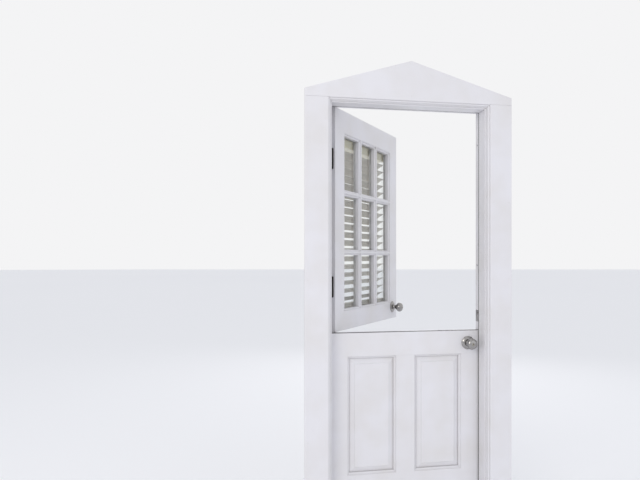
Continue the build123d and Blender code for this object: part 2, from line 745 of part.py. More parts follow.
def bead(x, z, along, length, turn):
    """One mitred glazing bead of a pane: along is half the pane to the bead's sight line."""
    half = length / 2
    with BuildPart() as strip:
        face = Plane(origin=(x, GLASS_Y + GLASS_T, z), x_dir=(1, 0, 0), z_dir=(0, 1, 0))
        plane = Plane(face.location * Rot(0, 0, turn))
        with BuildSketch(plane):
            with BuildLine():
                Polyline(
                    (-half, along),
                    (half, along),
                    (half + REBATE_W, along + REBATE_W),
                    (-half - REBATE_W, along + REBATE_W),
                    close=True,
                )
            make_face()
        extrude(amount=LEAF_T - GLASS_Y - GLASS_T)
        room_edges = strip.faces().sort_by(Axis.Y)[-1].edges()
        fillet(room_edges.sort_by_distance((x, LEAF_T, z))[0], radius=BEAD_R)
    return strip.part


glazing_beads = []
for x in PANE_XS:
    for z in PANE_ZS:
        for turn in (0, 180):
            glazing_beads.append(bead(x, z, PANE_H / 2, PANE_W, turn))
        for turn in (90, 270):
            glazing_beads.append(bead(x, z, PANE_W / 2, PANE_H, turn))
save("upper_glazing_beads", Compound(glazing_beads), OPEN)

# Lower leaf: stiles, rails coped over them, a mullion, and two raised panels in the grooves
with BuildPart() as lower_hinge_stile:
    extrude(
        member_section(Plane.XY.offset(Z_FOOT), X_HINGE, "square", -STILE_EDGE, "panel"), amount=LOWER_H
    )
    add(hinge_mortises(LOWER_HINGES), mode=Mode.SUBTRACT)

with BuildPart() as lower_lock_stile:
    extrude(
        member_section(Plane.XY.offset(Z_FOOT), STILE_EDGE, "panel", X_LOCK, "square"), amount=LOWER_H
    )
    add(lock_bores(LOWER_LOCK_Z), mode=Mode.SUBTRACT)

TENON_REACH = STILE_EDGE + GROOVE_D
Z_PANEL_LOW = Z_FOOT + LOWER_BOTTOM_RAIL
Z_PANEL_HIGH = Z_MEET - LOWER_TOP_RAIL
with BuildPart() as lower_bottom_rail:
    extrude(
        member_section(across(TENON_REACH), Z_FOOT, "square", Z_PANEL_LOW, "panel"),
        amount=2 * TENON_REACH,
    )
    add(lower_hinge_stile.part, mode=Mode.SUBTRACT)
    add(lower_lock_stile.part, mode=Mode.SUBTRACT)

with BuildPart() as lower_top_rail:
    extrude(
        member_section(across(TENON_REACH), Z_PANEL_HIGH, "panel", Z_MEET, "square"),
        amount=2 * TENON_REACH,
    )
    add(lower_hinge_stile.part, mode=Mode.SUBTRACT)
    add(lower_lock_stile.part, mode=Mode.SUBTRACT)

with BuildPart() as lower_mullion:
    extrude(
        member_section(
            Plane.XY.offset(Z_PANEL_LOW - GROOVE_D), -MULLION_W / 2, "panel", MULLION_W / 2, "panel"
        ),
        amount=Z_PANEL_HIGH - Z_PANEL_LOW + 2 * GROOVE_D,
    )
    add(lower_bottom_rail.part, mode=Mode.SUBTRACT)
    add(lower_top_rail.part, mode=Mode.SUBTRACT)
save("lower_mullion", lower_mullion.part)
save("lower_bottom_rail", lower_bottom_rail.part)

# Groove for the seal in the lower leaf's top edge, nearer the outer face than the upper one
with BuildPart() as lower_seal_groove:
    with BuildSketch(Plane.XY.offset(Z_MEET)):
        with Locations((0, LEAF_T - MEETING_SEAL_Y)):
            Rectangle(LEAF_W, KERF_W)
    extrude(amount=-KERF_D)

with BuildPart() as lower_top_seal:
    with BuildSketch(Plane.XY.offset(Z_MEET)):
        with Locations((0, LEAF_T - MEETING_SEAL_Y)):
            Rectangle(LEAF_W, MEETING_SEAL_W)
    extrude(amount=MEETING_SEAL_T)
    with BuildSketch(Plane.XY.offset(Z_MEET)):
        with Locations((0, LEAF_T - MEETING_SEAL_Y)):
            Rectangle(LEAF_W, BARB_W)
    extrude(amount=-BARB_D)
save("lower_top_seal", lower_top_seal.part)

for name, member in (
    ("lower_hinge_stile", lower_hinge_stile),
    ("lower_lock_stile", lower_lock_stile),
    ("lower_top_rail", lower_top_rail),
):
    with BuildPart() as grooved:
        add(member.part)
        add(lower_seal_groove.part, mode=Mode.SUBTRACT)
    save(name, grooved.part)

PANEL_W = X_GLASS - MULLION_W / 2
PANEL_H = Z_PANEL_HIGH - Z_PANEL_LOW
PANEL_X = (X_GLASS + MULLION_W / 2) / 2
PANEL_Z = (Z_PANEL_HIGH + Z_PANEL_LOW) / 2
PANEL_LAP = 2 * (GROOVE_D - PANEL_PLAY)
for name, side in (("lower_panel_left", -1), ("lower_panel_right", 1)):
    with BuildPart() as panel:
        with BuildSketch(Plane.XZ.offset(-MID_Y)):
            with Locations((side * PANEL_X, PANEL_Z)):
                Rectangle(PANEL_W - 2 * PANEL_SIDE_PLAY, PANEL_H - 2 * PANEL_SIDE_PLAY)
        extrude(amount=PANEL_FIELD_T / 2, both=True)
        for axis_end in (0, -1):
            broad_face = panel.faces().sort_by(Axis.Y)[axis_end]
            chamfer(
                broad_face.edges(),
                length=PANEL_BEVEL_W,
                length2=(PANEL_FIELD_T - PANEL_EDGE_T) / 2,
                reference=broad_face,
            )
        with BuildSketch(Plane.XZ.offset(-MID_Y)):
            with Locations((side * PANEL_X, PANEL_Z)):
                Rectangle(PANEL_W + PANEL_LAP, PANEL_H + PANEL_LAP)
        extrude(amount=PANEL_EDGE_T / 2, both=True)
        with BuildSketch(Plane.XZ.offset(-MID_Y)):
            with Locations((side * PANEL_X, PANEL_Z)):
                Rectangle(PANEL_W - 2 * PANEL_BEVEL_W, PANEL_H - 2 * PANEL_BEVEL_W)
        extrude(amount=PANEL_FIELD_T / 2 + PANEL_FIELD_STEP, both=True)
    save(name, panel.part)

# Sweep under the lower leaf: a soft plate with fins that reach down to the threshold
with BuildPart() as lower_sweep:
    with BuildSketch(Plane.YZ.offset(X_HINGE)):
        with Locations((MID_Y, Z_FOOT - SWEEP_T / 2)):
            Rectangle(LEAF_T - 2 * SWEEP_IN, SWEEP_T)
        fin_h = FOOT_GAP - SWEEP_T - SWEEP_PLAY
        with Locations((MID_Y, Z_FOOT - SWEEP_T - fin_h / 2)):
            with GridLocations(THRESHOLD_IN * 2, 1, SWEEP_FINS, 1):
                Rectangle(SWEEP_T, fin_h)
    extrude(amount=LEAF_W)
save("lower_sweep", lower_sweep.part)


# Knob locks: one set on each leaf, with the key outside and a turn button inside
def lock_plane(z, outside):
    """Plane on a leaf's face at a lock's centre, looking away from the leaf."""
    if outside:
        return Plane(origin=(LOCK_X, 0, z), x_dir=(1, 0, 0), z_dir=(0, -1, 0))
    return Plane(origin=(LOCK_X, LEAF_T, z), x_dir=(-1, 0, 0), z_dir=(0, 1, 0))


def turned(plane, outline):
    """A turned solid about the plane's normal; outline draws its half section."""
    half = Plane(origin=plane.origin, x_dir=plane.x_dir, z_dir=-plane.y_dir)
    with BuildPart() as solid:
        with BuildSketch(half):
            with BuildLine():
                outline()
            make_face()
        revolve(axis=Axis(plane.origin, plane.z_dir))
    return solid.part


def rose_outline():
    """Half section of a rose: a low dome with a bore for the knob's shank."""
    bore = SHANK_R + SHANK_PLAY
    Polyline((bore, ROSE_T), (bore, 0), (ROSE_R, 0), (ROSE_R, ROSE_T * 0.3))
    ThreePointArc((ROSE_R, ROSE_T * 0.3), (ROSE_R * 0.86, ROSE_T * 0.72), (ROSE_R * 0.62, ROSE_T))
    Line((ROSE_R * 0.62, ROSE_T), (bore, ROSE_T))


def knob_outline():
    """Half section of a knob: shank in the leaf, waisted neck and a round head with a flat face."""
    shoulder = ROSE_T + 3.0
    Polyline((0, -SHANK_IN), (SHANK_R, -SHANK_IN), (SHANK_R, shoulder))
    Spline(
        (SHANK_R, shoulder),
        (KNOB_NECK_R, KNOB_OUT * 0.36),
        (KNOB_R * 0.86, KNOB_OUT * 0.56),
        tangents=[(-0.3, 1.0), (1.0, 0.5)],
    )
    back = (KNOB_R * 0.86, KNOB_OUT * 0.56)
    front = (KNOB_R * 0.84, KNOB_OUT * 0.92)
    ThreePointArc(back, (KNOB_R, KNOB_OUT * 0.72), front)
    ThreePointArc(front, (KNOB_R * 0.7, KNOB_OUT * 0.98), (KNOB_R * 0.5, KNOB_OUT))
    Polyline((KNOB_R * 0.5, KNOB_OUT), (0, KNOB_OUT), (0, -SHANK_IN))


def lock_set(prefix, z, place):
    """Write the eight pieces of one knob lock centred at height z."""
    outer = lock_plane(z, True)
    inner = lock_plane(z, False)
    save(f"{prefix}_rose_outer", turned(outer, rose_outline), place)
    save(f"{prefix}_rose_inner", turned(inner, rose_outline), place)

    with BuildPart() as knob_outer:
        add(turned(outer, knob_outline))
        with BuildSketch(outer.offset(KNOB_OUT)):
            Circle(PLUG_R + PLUG_PLAY)
        extrude(amount=-PLUG_L, mode=Mode.SUBTRACT)
        with BuildSketch(outer.offset(-SHANK_IN)):
            Circle(SPINDLE_R + PLUG_PLAY)
        extrude(amount=SHANK_IN, mode=Mode.SUBTRACT)
    save(f"{prefix}_knob_outer", knob_outer.part, place)

    with BuildPart() as knob_inner:
        add(turned(inner, knob_outline))
        with BuildSketch(inner.offset(-SHANK_IN)):
            Circle(SPINDLE_R)
        extrude(amount=-(LEAF_T - 2 * SHANK_IN + SHANK_IN / 2))
        with BuildSketch(inner.offset(KNOB_OUT)):
            Circle(BUTTON_SHAFT_R + PLUG_PLAY)
        extrude(amount=-BUTTON_SHAFT_L - PLUG_PLAY, mode=Mode.SUBTRACT)
    save(f"{prefix}_knob_inner", knob_inner.part, place)

    with BuildPart() as key_plug:
        with BuildSketch(outer.offset(KNOB_OUT)):
            Circle(PLUG_R)
        extrude(amount=-PLUG_L + PLUG_PLAY)
        with BuildSketch(outer.offset(KNOB_OUT)):
            Rectangle(KEYWAY_W, KEYWAY_H)
        extrude(amount=-KEYWAY_D, mode=Mode.SUBTRACT)
    save(f"{prefix}_key_plug", key_plug.part, place)

    with BuildPart() as turn_button:
        with BuildSketch(inner.offset(KNOB_OUT - BUTTON_SHAFT_L)):
            Circle(BUTTON_SHAFT_R)
        extrude(amount=BUTTON_SHAFT_L + 1)
        with BuildSketch(inner.offset(KNOB_OUT + 0.5)):
            RectangleRounded(BUTTON_T, BUTTON_W, BUTTON_T * 0.45)
        extrude(amount=BUTTON_H, taper=6)
    save(f"{prefix}_turn_button", turn_button.part, place)

    edge = Plane(origin=(X_LOCK, MID_Y, z), x_dir=(0, 1, 0), z_dir=(1, 0, 0))
    with BuildPart() as latch_case:
        with BuildSketch(edge):
            RectangleRounded(FACEPLATE_W, FACEPLATE_H, FACEPLATE_R)
        extrude(amount=-FACEPLATE_T)
        with BuildSketch(edge.offset(-FACEPLATE_T)):
            Circle(LATCH_TUBE_R)
        extrude(amount=-(BACKSET + LATCH_TUBE_BEYOND - FACEPLATE_T))
        with BuildSketch(edge.offset(-FACEPLATE_T)):
            Circle(LATCH_CHANNEL_R)
        extrude(amount=-(BACKSET - FACEPLATE_T), mode=Mode.SUBTRACT)
        with BuildSketch(edge):
            Rectangle(BOLT_W + 2 * BOLT_PLAY, BOLT_H + 2 * BOLT_PLAY)
        extrude(amount=-FACEPLATE_T, mode=Mode.SUBTRACT)
        with Locations(Location((LOCK_X, MID_Y, z), (90, 0, 0))):
            Cylinder(SPINDLE_R + SPINDLE_PLAY, LEAF_T, mode=Mode.SUBTRACT)
    save(f"{prefix}_latch_case", latch_case.part, place)

    head_l = BOLT_OUT + FACEPLATE_T + BOLT_OUT
    tail_l = BACKSET - SPINDLE_R - BOLT_OUT - BOLT_PLAY - (head_l - BOLT_OUT) - SPINDLE_PLAY
    with BuildPart() as latch_bolt:
        with BuildSketch(edge.offset(BOLT_OUT)):
            Rectangle(BOLT_W, BOLT_H)
        extrude(amount=-head_l)
        chamfer(
            latch_bolt.faces().sort_by(Axis.X)[-1].edges().sort_by(Axis.Y)[0],
            length=BOLT_OUT - BOLT_PLAY,
            length2=BOLT_W * 0.85,
            reference=latch_bolt.faces().sort_by(Axis.Y)[0],
        )
        with BuildSketch(edge.offset(BOLT_OUT - head_l)):
            Circle(BOLT_TAIL_R)
        extrude(amount=-tail_l)
    save(f"{prefix}_latch_bolt", latch_bolt.part, place)


lock_set("upper", UPPER_LOCK_Z, OPEN)
lock_set("lower", LOWER_LOCK_Z, Pos(0, 0, 0))

# Barrel bolt on the inner faces: it slides down from the upper leaf into the lower one
BARREL_X = X_LOCK - BARREL_IN
BARREL_R = BARREL_ROD_R + BARREL_WALL
BARREL_Y = LEAF_T + BARREL_PLATE_T + BARREL_R
inner_face = Plane(origin=(0, LEAF_T, 0), x_dir=(-1, 0, 0), z_dir=(0, 1, 0))


def barrel_housing(low, height, guides):
    """A plate on the inner face with rounded guides for the rod at the given heights."""
    with BuildPart() as housing:
        with BuildSketch(inner_face):
            with Locations((-BARREL_X, low + height / 2)):
                RectangleRounded(BARREL_PLATE_W, height, FACEPLATE_R)
        extrude(amount=BARREL_PLATE_T)
        for guide in guides:
            with BuildSketch(Plane.XY.offset(guide)):
                with Locations((BARREL_X, BARREL_Y)):
                    Circle(BARREL_R)
                with Locations((BARREL_X, (LEAF_T + BARREL_Y) / 2)):
                    Rectangle(2 * BARREL_R, BARREL_Y - LEAF_T)
                with Locations((BARREL_X, BARREL_Y)):
                    Circle(BARREL_ROD_R + BARREL_PLAY, mode=Mode.SUBTRACT)
            extrude(amount=BARREL_GUIDE_H)
    return housing.part


BARREL_LOW = Z_UPPER + BARREL_FOOT
GUIDE_LOW = BARREL_LOW + BARREL_GUIDE_FOOT
GUIDE_HIGH = BARREL_LOW + BARREL_PLATE_H - BARREL_GUIDE_H - BARREL_GUIDE_HEAD
save("barrel_bolt_plate", barrel_housing(BARREL_LOW, BARREL_PLATE_H, (GUIDE_LOW, GUIDE_HIGH)), OPEN)

ROD_LOW = Z_UPPER + BARREL_FOOT
GRIP_Z = GUIDE_HIGH - BARREL_GRIP_R - BARREL_GUIDE_FOOT
with BuildPart() as barrel_bolt_rod:
    with BuildSketch(Plane.XY.offset(ROD_LOW)):
        with Locations((BARREL_X, BARREL_Y)):
            Circle(BARREL_ROD_R)
    extrude(amount=BARREL_ROD_L)
    chamfer(barrel_bolt_rod.faces().sort_by(Axis.Z)[0].edges(), length=1.0)
    with BuildSketch(Plane(origin=(BARREL_X, BARREL_Y, GRIP_Z), x_dir=(-1, 0, 0), z_dir=(0, 1, 0))):
        Circle(BARREL_GRIP_R)
    extrude(amount=BARREL_ROD_R + BARREL_GRIP_OUT, taper=-4)
save("barrel_bolt_rod", barrel_bolt_rod.part, OPEN)

KEEPER_LOW = Z_MEET - BARREL_FOOT - KEEPER_H
KEEPER_GUIDE = Z_MEET - BARREL_FOOT - BARREL_GUIDE_FOOT - BARREL_GUIDE_H
save("barrel_bolt_keeper", barrel_housing(KEEPER_LOW, KEEPER_H, (KEEPER_GUIDE,)))

# Blind: headrail, tilted slats with cord slots, bottom rail, cords, wand and brackets
BLIND_Y = LEAF_T + BLIND_OFF
BLIND_MID = BLIND_Y + HEADRAIL_D / 2
Z_HEADRAIL = Z_GLASS_HIGH - HEADRAIL_DROP
Z_BOTTOM_RAIL = Z_UPPER + BOTTOM_RAIL_UP
LADDER_X = BLIND_W / 2 - LADDER_IN
SLAT_HIGH = Z_HEADRAIL - SLAT_TOP_GAP
SLAT_LOW = Z_BOTTOM_RAIL + BOTTOM_RAIL_H + SLAT_FOOT_GAP
SLAT_PITCH = (SLAT_HIGH - SLAT_LOW) / (SLATS - 1)
with BuildPart() as blind_headrail:
    with BuildSketch(Plane.YZ.offset(-BLIND_W / 2)):
        with Locations((BLIND_MID, Z_HEADRAIL + HEADRAIL_H / 2)):
            RectangleRounded(HEADRAIL_D, HEADRAIL_H, BOTTOM_RAIL_R)
        with Locations((BLIND_MID, Z_HEADRAIL + HEADRAIL_H / 2 + HEADRAIL_WALL)):
            Rectangle(HEADRAIL_D - 2 * HEADRAIL_WALL, HEADRAIL_H, mode=Mode.SUBTRACT)
    extrude(amount=BLIND_W)
save("blind_headrail", blind_headrail.part, OPEN)


def slat(z):
    """One crowned slat, tilted so that its room-side edge is the lower, slotted for its cords."""
    level = Plane(origin=(-BLIND_W / 2, BLIND_MID, z), x_dir=(0, 1, 0), z_dir=(1, 0, 0))
    middle = Plane(level.location * Rot(0, 0, -SLAT_TILT))
    half = SLAT_W / 2
    with BuildPart() as strip:
        with BuildSketch(middle):
            with BuildLine():
                ThreePointArc((-half, 0), (0, SLAT_CROWN), (half, 0))
                Line((half, 0), (half, -SLAT_T))
                ThreePointArc((half, -SLAT_T), (0, SLAT_CROWN - SLAT_T), (-half, -SLAT_T))
                Line((-half, -SLAT_T), (-half, 0))
            make_face()
        extrude(amount=BLIND_W)
        with BuildSketch(Plane.XY.offset(z - SLAT_W / 2)):
            with Locations((-LADDER_X, BLIND_MID), (LADDER_X, BLIND_MID)):
                Rectangle(SLAT_SLOT_W, SLAT_SLOT_L)
        extrude(amount=SLAT_W, mode=Mode.SUBTRACT)
    return strip.part


save("blind_slats", Compound([slat(SLAT_LOW + index * SLAT_PITCH) for index in range(SLATS)]), OPEN)

with BuildPart() as blind_bottom_rail:
    with BuildSketch(Plane.YZ.offset(-BLIND_W / 2)):
        with Locations((BLIND_MID, Z_BOTTOM_RAIL + BOTTOM_RAIL_H / 2)):
            RectangleRounded(BOTTOM_RAIL_D, BOTTOM_RAIL_H, BOTTOM_RAIL_R)
    extrude(amount=BLIND_W)
save("blind_bottom_rail", blind_bottom_rail.part, OPEN)

CORD_ROOM_Y = BLIND_MID + SLAT_W / 2 * cos(radians(SLAT_TILT)) + CORD_R + CORD_PLAY
CORD_GLASS_Y = 2 * BLIND_MID - CORD_ROOM_Y - SLAT_T * sin(radians(SLAT_TILT))
with BuildPart() as blind_cords:
    with BuildSketch(Plane.XY.offset(Z_BOTTOM_RAIL + BOTTOM_RAIL_H)):
        for x in (-LADDER_X, LADDER_X):
            with Locations((x, CORD_GLASS_Y), (x, BLIND_MID), (x, CORD_ROOM_Y)):
                Circle(CORD_R)
    extrude(amount=Z_HEADRAIL - Z_BOTTOM_RAIL - BOTTOM_RAIL_H)
save("blind_cords", blind_cords.part, OPEN)

WAND_X = -BLIND_W / 2 + WAND_IN
WAND_Y = BLIND_Y + HEADRAIL_D + WAND_R + 2.0
with BuildPart() as blind_wand:
    with BuildSketch(Plane.XY.offset(Z_HEADRAIL + 4.0 - WAND_L)):
        with Locations((WAND_X, WAND_Y)):
            RegularPolygon(WAND_R, 6)
    extrude(amount=WAND_L)
    hook = Plane(
        origin=(WAND_X, BLIND_Y + HEADRAIL_D, Z_HEADRAIL + 12.0), x_dir=(-1, 0, 0), z_dir=(0, 1, 0)
    )
    with BuildSketch(hook):
        Circle(WAND_R * 0.8)
    extrude(amount=WAND_R * 2 + 2.0)
    with BuildSketch(Plane.XY.offset(Z_HEADRAIL + 2.0)):
        with Locations((WAND_X, WAND_Y)):
            Circle(WAND_R * 0.6)
    extrude(amount=12.0)
save("blind_wand", blind_wand.part, OPEN)

# Brackets: boxed ends that carry the headrail, and pins that hold the bottom rail down
BOX_W = BRACKET_W
with BuildPart() as blind_brackets:
    for side in (-1, 1):
        end = side * (BLIND_W / 2 + CORD_PLAY)
        with BuildSketch(Plane.YZ.offset(end)):
            with Locations(((LEAF_T + BLIND_Y + HEADRAIL_D) / 2, Z_HEADRAIL + HEADRAIL_H / 2)):
                Rectangle(HEADRAIL_D + BLIND_OFF, HEADRAIL_H)
        extrude(amount=side * BRACKET_T)
        with BuildSketch(Plane.XZ.offset(-LEAF_T)):
            with Locations((end + side * (BRACKET_T - BOX_W) / 2, Z_HEADRAIL + HEADRAIL_H / 2)):
                Rectangle(BOX_W + BRACKET_T, HEADRAIL_H)
        extrude(amount=-BRACKET_T)
        with BuildSketch(Plane.YZ.offset(end)):
            with Locations(((LEAF_T + BLIND_MID) / 2, Z_BOTTOM_RAIL + BOTTOM_RAIL_H / 2)):
                Rectangle(BLIND_MID - LEAF_T, HOLD_DOWN_W)
        extrude(amount=side * BRACKET_T)
        with BuildSketch(Plane.XZ.offset(-LEAF_T)):
            with Locations((end + side * HOLD_DOWN_W / 2, Z_BOTTOM_RAIL + BOTTOM_RAIL_H / 2)):
                Rectangle(HOLD_DOWN_W, HOLD_DOWN_W)
        extrude(amount=-BRACKET_T)
save("blind_brackets", blind_brackets.part, OPEN)
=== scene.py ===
"""Dress the dutch stable door: paint, glass, metal, blind, fixings, light and camera.

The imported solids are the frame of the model. This script gives each of them its
finish, swaps some for finer pieces of the same size and place, and adds the screws,
cords, ribs and nail fillings that the real door has.
"""

import logging
import math
from dataclasses import dataclass
from enum import Enum
from typing import Any, Optional, Sequence, Union

import bmesh
import bpy
import numpy as np
from mathutils import Matrix, Vector


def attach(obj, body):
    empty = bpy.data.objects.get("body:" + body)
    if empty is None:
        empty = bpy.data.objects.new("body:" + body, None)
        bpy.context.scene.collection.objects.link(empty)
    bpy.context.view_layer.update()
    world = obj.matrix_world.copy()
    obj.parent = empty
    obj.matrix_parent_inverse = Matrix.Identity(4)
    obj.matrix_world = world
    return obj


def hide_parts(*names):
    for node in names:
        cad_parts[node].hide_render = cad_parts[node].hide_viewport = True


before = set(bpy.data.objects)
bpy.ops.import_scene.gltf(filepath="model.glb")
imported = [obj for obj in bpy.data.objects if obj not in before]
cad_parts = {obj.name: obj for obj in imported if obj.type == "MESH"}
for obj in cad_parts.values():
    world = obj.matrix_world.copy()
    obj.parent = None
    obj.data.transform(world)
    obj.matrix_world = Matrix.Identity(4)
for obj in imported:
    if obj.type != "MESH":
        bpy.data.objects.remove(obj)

LOG = logging.getLogger("stable_door")
Point = tuple[float, float, float]
Spot = tuple[Point, Point]  # the middle of a screw's head, in millimetres, and the way that it faces
Tree, Socket = bpy.types.NodeTree, bpy.types.NodeSocket
Mesh, Piece = bpy.types.Mesh, bpy.types.Object

MM = 0.001  # metres in a millimetre
FULL_TURN = 2 * math.pi

# Places and sizes that several sub-assemblies share, in millimetres
PIN_X, PIN_Y = -382.5, 51.0
LEAF_THICKNESS = 44.0
JAMB_FACE_X = 384.0
LOCK_X, UPPER_LOCK_Z, LOWER_LOCK_Z = 321.0, 1067.0, 938.0

# The upper leaf is drawn shut, then swung open by this many degrees about the hinge pins
OPEN_ANGLE = 50.3
PINS = Matrix.Translation((PIN_X * MM, PIN_Y * MM, 0.0))
SHUT, OPEN = Matrix(), PINS @ Matrix.Rotation(math.radians(OPEN_ANGLE), 4, "Z") @ PINS.inverted()


class Grain(Enum):
    """The way that a member's brush marks and grain run, as a pattern's turn."""

    UPRIGHT = (0.0, math.pi / 2, 0.0)
    LEVEL = (0.0, 0.0, 0.0)
    LEVEL_SWUNG = (0.0, 0.0, math.radians(-OPEN_ANGLE))


class Side(Enum):
    """The two faces of a leaf: +1 looks outdoors, -1 looks indoors."""

    OUTER = 1
    INNER = -1


# Colour and node helpers


def srgb(code: str) -> tuple[float, float, float, float]:
    """Turn an sRGB hex colour into the linear values that the shaders use.

    Args:
        code: six hex digits after a hash sign.

    Returns:
        Linear red, green and blue, and an alpha of 1.
    """
    values = [int(code[i : i + 2], 16) / 255 for i in (1, 3, 5)]
    linear = [v / 12.92 if v <= 0.04045 else ((v + 0.055) / 1.055) ** 2.4 for v in values]
    return (linear[0], linear[1], linear[2], 1.0)


def add(
    tree: Tree, kind: str, inputs: Optional[dict] = None, out: Union[int, str] = 0, **settings: Any
) -> Optional[Socket]:
    """Add a node, with its settings, its values and the links that feed it.

    Args:
        tree: the tree that gets the node.
        kind: the node's type name.
        inputs: input name or index, to a value, to the socket that feeds it, or to a
            list of sockets that are joined there.
        out: the output that is wanted, by name or index.
        settings: the node's own properties.

    Returns:
        That output, or None where the node ends its tree.
    """
    node = tree.nodes.new(kind)
    for name, value in settings.items():
        setattr(node, name, value)
    for key, value in (inputs or {}).items():
        feeds = value if isinstance(value, list) else [value]
        if isinstance(feeds[0], Socket):
            for feed in feeds:
                tree.links.new(feed, node.inputs[key])
        else:
            node.inputs[key].default_value = value
    return node.outputs[out] if len(node.outputs) else None


# Finishes: each one is a real material and knows how to build its shader


@dataclass(frozen=True)
class Finish:
    """A real finish. Subclasses draw it; this class starts and closes the tree."""

    name: str

    def material(self) -> bpy.types.Material:
        """Make the finish's material, once.

        Returns:
            The material.
        """
        found = bpy.data.materials.get(self.name)
        if found is not None:
            return found
        made = bpy.data.materials.new(self.name)
        made.use_nodes = True
        made.node_tree.nodes.clear()
        add(made.node_tree, "ShaderNodeOutputMaterial", {"Surface": self.surface(made.node_tree)})
        return made

    def surface(self, tree: Tree) -> Socket:
        """Draw the shader in the material's tree."""
        raise NotImplementedError

    def place(self, tree: Tree, stretch: Point, turn: Point = (0.0, 0.0, 0.0)) -> Socket:
        """Turn and stretch the object coordinates for a pattern.

        Args:
            tree: the material's tree.
            stretch: repeats per metre along each turned axis.
            turn: Euler angles of the pattern.

        Returns:
            The mapped vector.
        """
        where = add(tree, "ShaderNodeTexCoord", out="Object")
        turned = add(tree, "ShaderNodeMapping", {"Vector": where, "Rotation": turn})
        return add(tree, "ShaderNodeMapping", {"Vector": turned, "Scale": stretch})

    def lay_over(
        self, tree: Tree, pattern: Socket, start: float, full: float, under: str, over: str
    ) -> Socket:
        """Lay one colour over another, from none at the pattern's start value to full."""
        share = add(tree, "ShaderNodeMapRange", {0: pattern, 1: start, 2: full})
        return add(tree, "ShaderNodeMix", {0: share, 6: srgb(under), 7: srgb(over)}, 2, data_type="RGBA")

    def relief(self, tree: Tree, ease: float, *layers: tuple[Socket, float, float]) -> Socket:
        """Soften the edges and raise fine relief.

        Args:
            tree: the material's tree.
            ease: the edges' radius in metres.
            layers: the height pattern, strength and depth in metres of each relief.

        Returns:
            The normal.
        """
        normal = add(tree, "ShaderNodeBevel", {"Radius": ease}, samples=4)
        for height, strength, depth in layers:
            fed = {"Height": height, "Normal": normal, "Strength": strength, "Distance": depth}
            normal = add(tree, "ShaderNodeBump", fed)
        return normal

    def edges(self, tree: Tree, radius: float) -> Socket:
        """Find outside and inside corners.

        Args:
            tree: the material's tree.
            radius: how far from the corner the mask reaches, in metres.

        Returns:
            A mask that is 1 along the corners.
        """
        eased = add(tree, "ShaderNodeBevel", {"Radius": radius}, samples=4)
        true = add(tree, "ShaderNodeNewGeometry", out="Normal")
        alike = add(tree, "ShaderNodeVectorMath", {0: eased, 1: true}, "Value", operation="DOT_PRODUCT")
        return add(tree, "ShaderNodeMapRange", {0: alike, 1: 0.88, 2: 0.98, 3: 1.0, 4: 0.0})


@dataclass(frozen=True)
class PaintedTimber(Finish):
    """Exterior acrylic gloss, brushed on softwood: smooth, with faint strokes along the member."""

    code: str = "#E4E3E7"
    shade: str = "#DFDDDE"
    # The grey-brown of the painted shade that an occlusion mask lays in corners and recesses
    corner_shade: str = "#8E877E"
    primer: str = "#B9AB97"
    grain: Grain = Grain.UPRIGHT
    wear: float = 0.25
    roughness: float = 0.34
    corner_reach: float = 0.014
    chip_reach: float = 0.0012
    arris: float = 0.0011

    def surface(self, tree: Tree) -> Socket:
        """Draw paint with brush strokes, painted shade in its corners, thin edges and slow drifts of colour.

        Args:
            tree: the material's tree.

        Returns:
            The shader.
        """
        along, still = self.grain.value, (0.0, 0.0, 0.0)
        patterns = (
            # Brush hairs leave lines about 1 mm apart; they are drawn 3 mm apart and 0.3 m long to show
            ((3.2, 330.0, 330.0), along, 3.0, 0.5),
            # The softwood's growth lines telegraph through the film at about 12 mm
            ((1.6, 80.0, 80.0), along, 2.0, 0.5),
            # The white drifts over some 150 mm, as sun and damp leave it
            ((6.5, 6.5, 6.5), still, 2.0, 0.5),
            # The painted corner shade is broken, and edges chip, in specks of about 3 mm
            ((350.0, 350.0, 350.0), still, 4.0, 0.7),
        )
        noises = []
        for stretch, turn, detail, rough in patterns:
            where = self.place(tree, stretch, turn)
            noise = {"Vector": where, "Scale": 1.0, "Detail": detail, "Roughness": rough}
            noises.append(add(tree, "ShaderNodeTexNoise", noise))
        strokes, growth, drift, specks = noises
        colour = self.lay_over(tree, drift, 0.35, 0.7, self.code, self.shade)
        # Painted shade: an occlusion mask darkens the paint towards grey-brown in corners and recesses, in
        # specks
        corner = add(tree, "ShaderNodeAmbientOcclusion", {"Distance": self.corner_reach}, "AO", samples=4)
        corner = add(tree, "ShaderNodeMapRange", {0: corner, 1: 0.35, 2: 0.85, 3: 0.34, 4: 0.0})
        shade_flecks = add(tree, "ShaderNodeMapRange", {0: specks, 1: 0.35, 2: 0.65, 3: 0.35, 4: 1.0})
        chips = add(tree, "ShaderNodeMapRange", {0: specks, 1: 0.5, 2: 0.72, 3: 0.0, 4: self.wear})
        edges = self.edges(tree, self.chip_reach)
        # Lay the painted corner shade first, then the primer where edges chip
        for place, amount, over in ((corner, shade_flecks, self.corner_shade), (edges, chips, self.primer)):
            share = add(tree, "ShaderNodeMath", {0: place, 1: amount}, operation="MULTIPLY")
            colour = add(tree, "ShaderNodeMix", {0: share, 6: colour, 7: srgb(over)}, 2, data_type="RGBA")
        gloss = {0: strokes, 1: 0.25, 2: 0.75, 3: self.roughness - 0.05, 4: self.roughness + 0.12}
        shader = {
            "Base Color": colour,
            "Roughness": add(tree, "ShaderNodeMapRange", gloss),
            "Normal": self.relief(tree, self.arris, (strokes, 0.22, 0.0006), (growth, 0.16, 0.0012)),
            "IOR": 1.48,
        }
        return add(tree, "ShaderNodeBsdfPrincipled", shader)


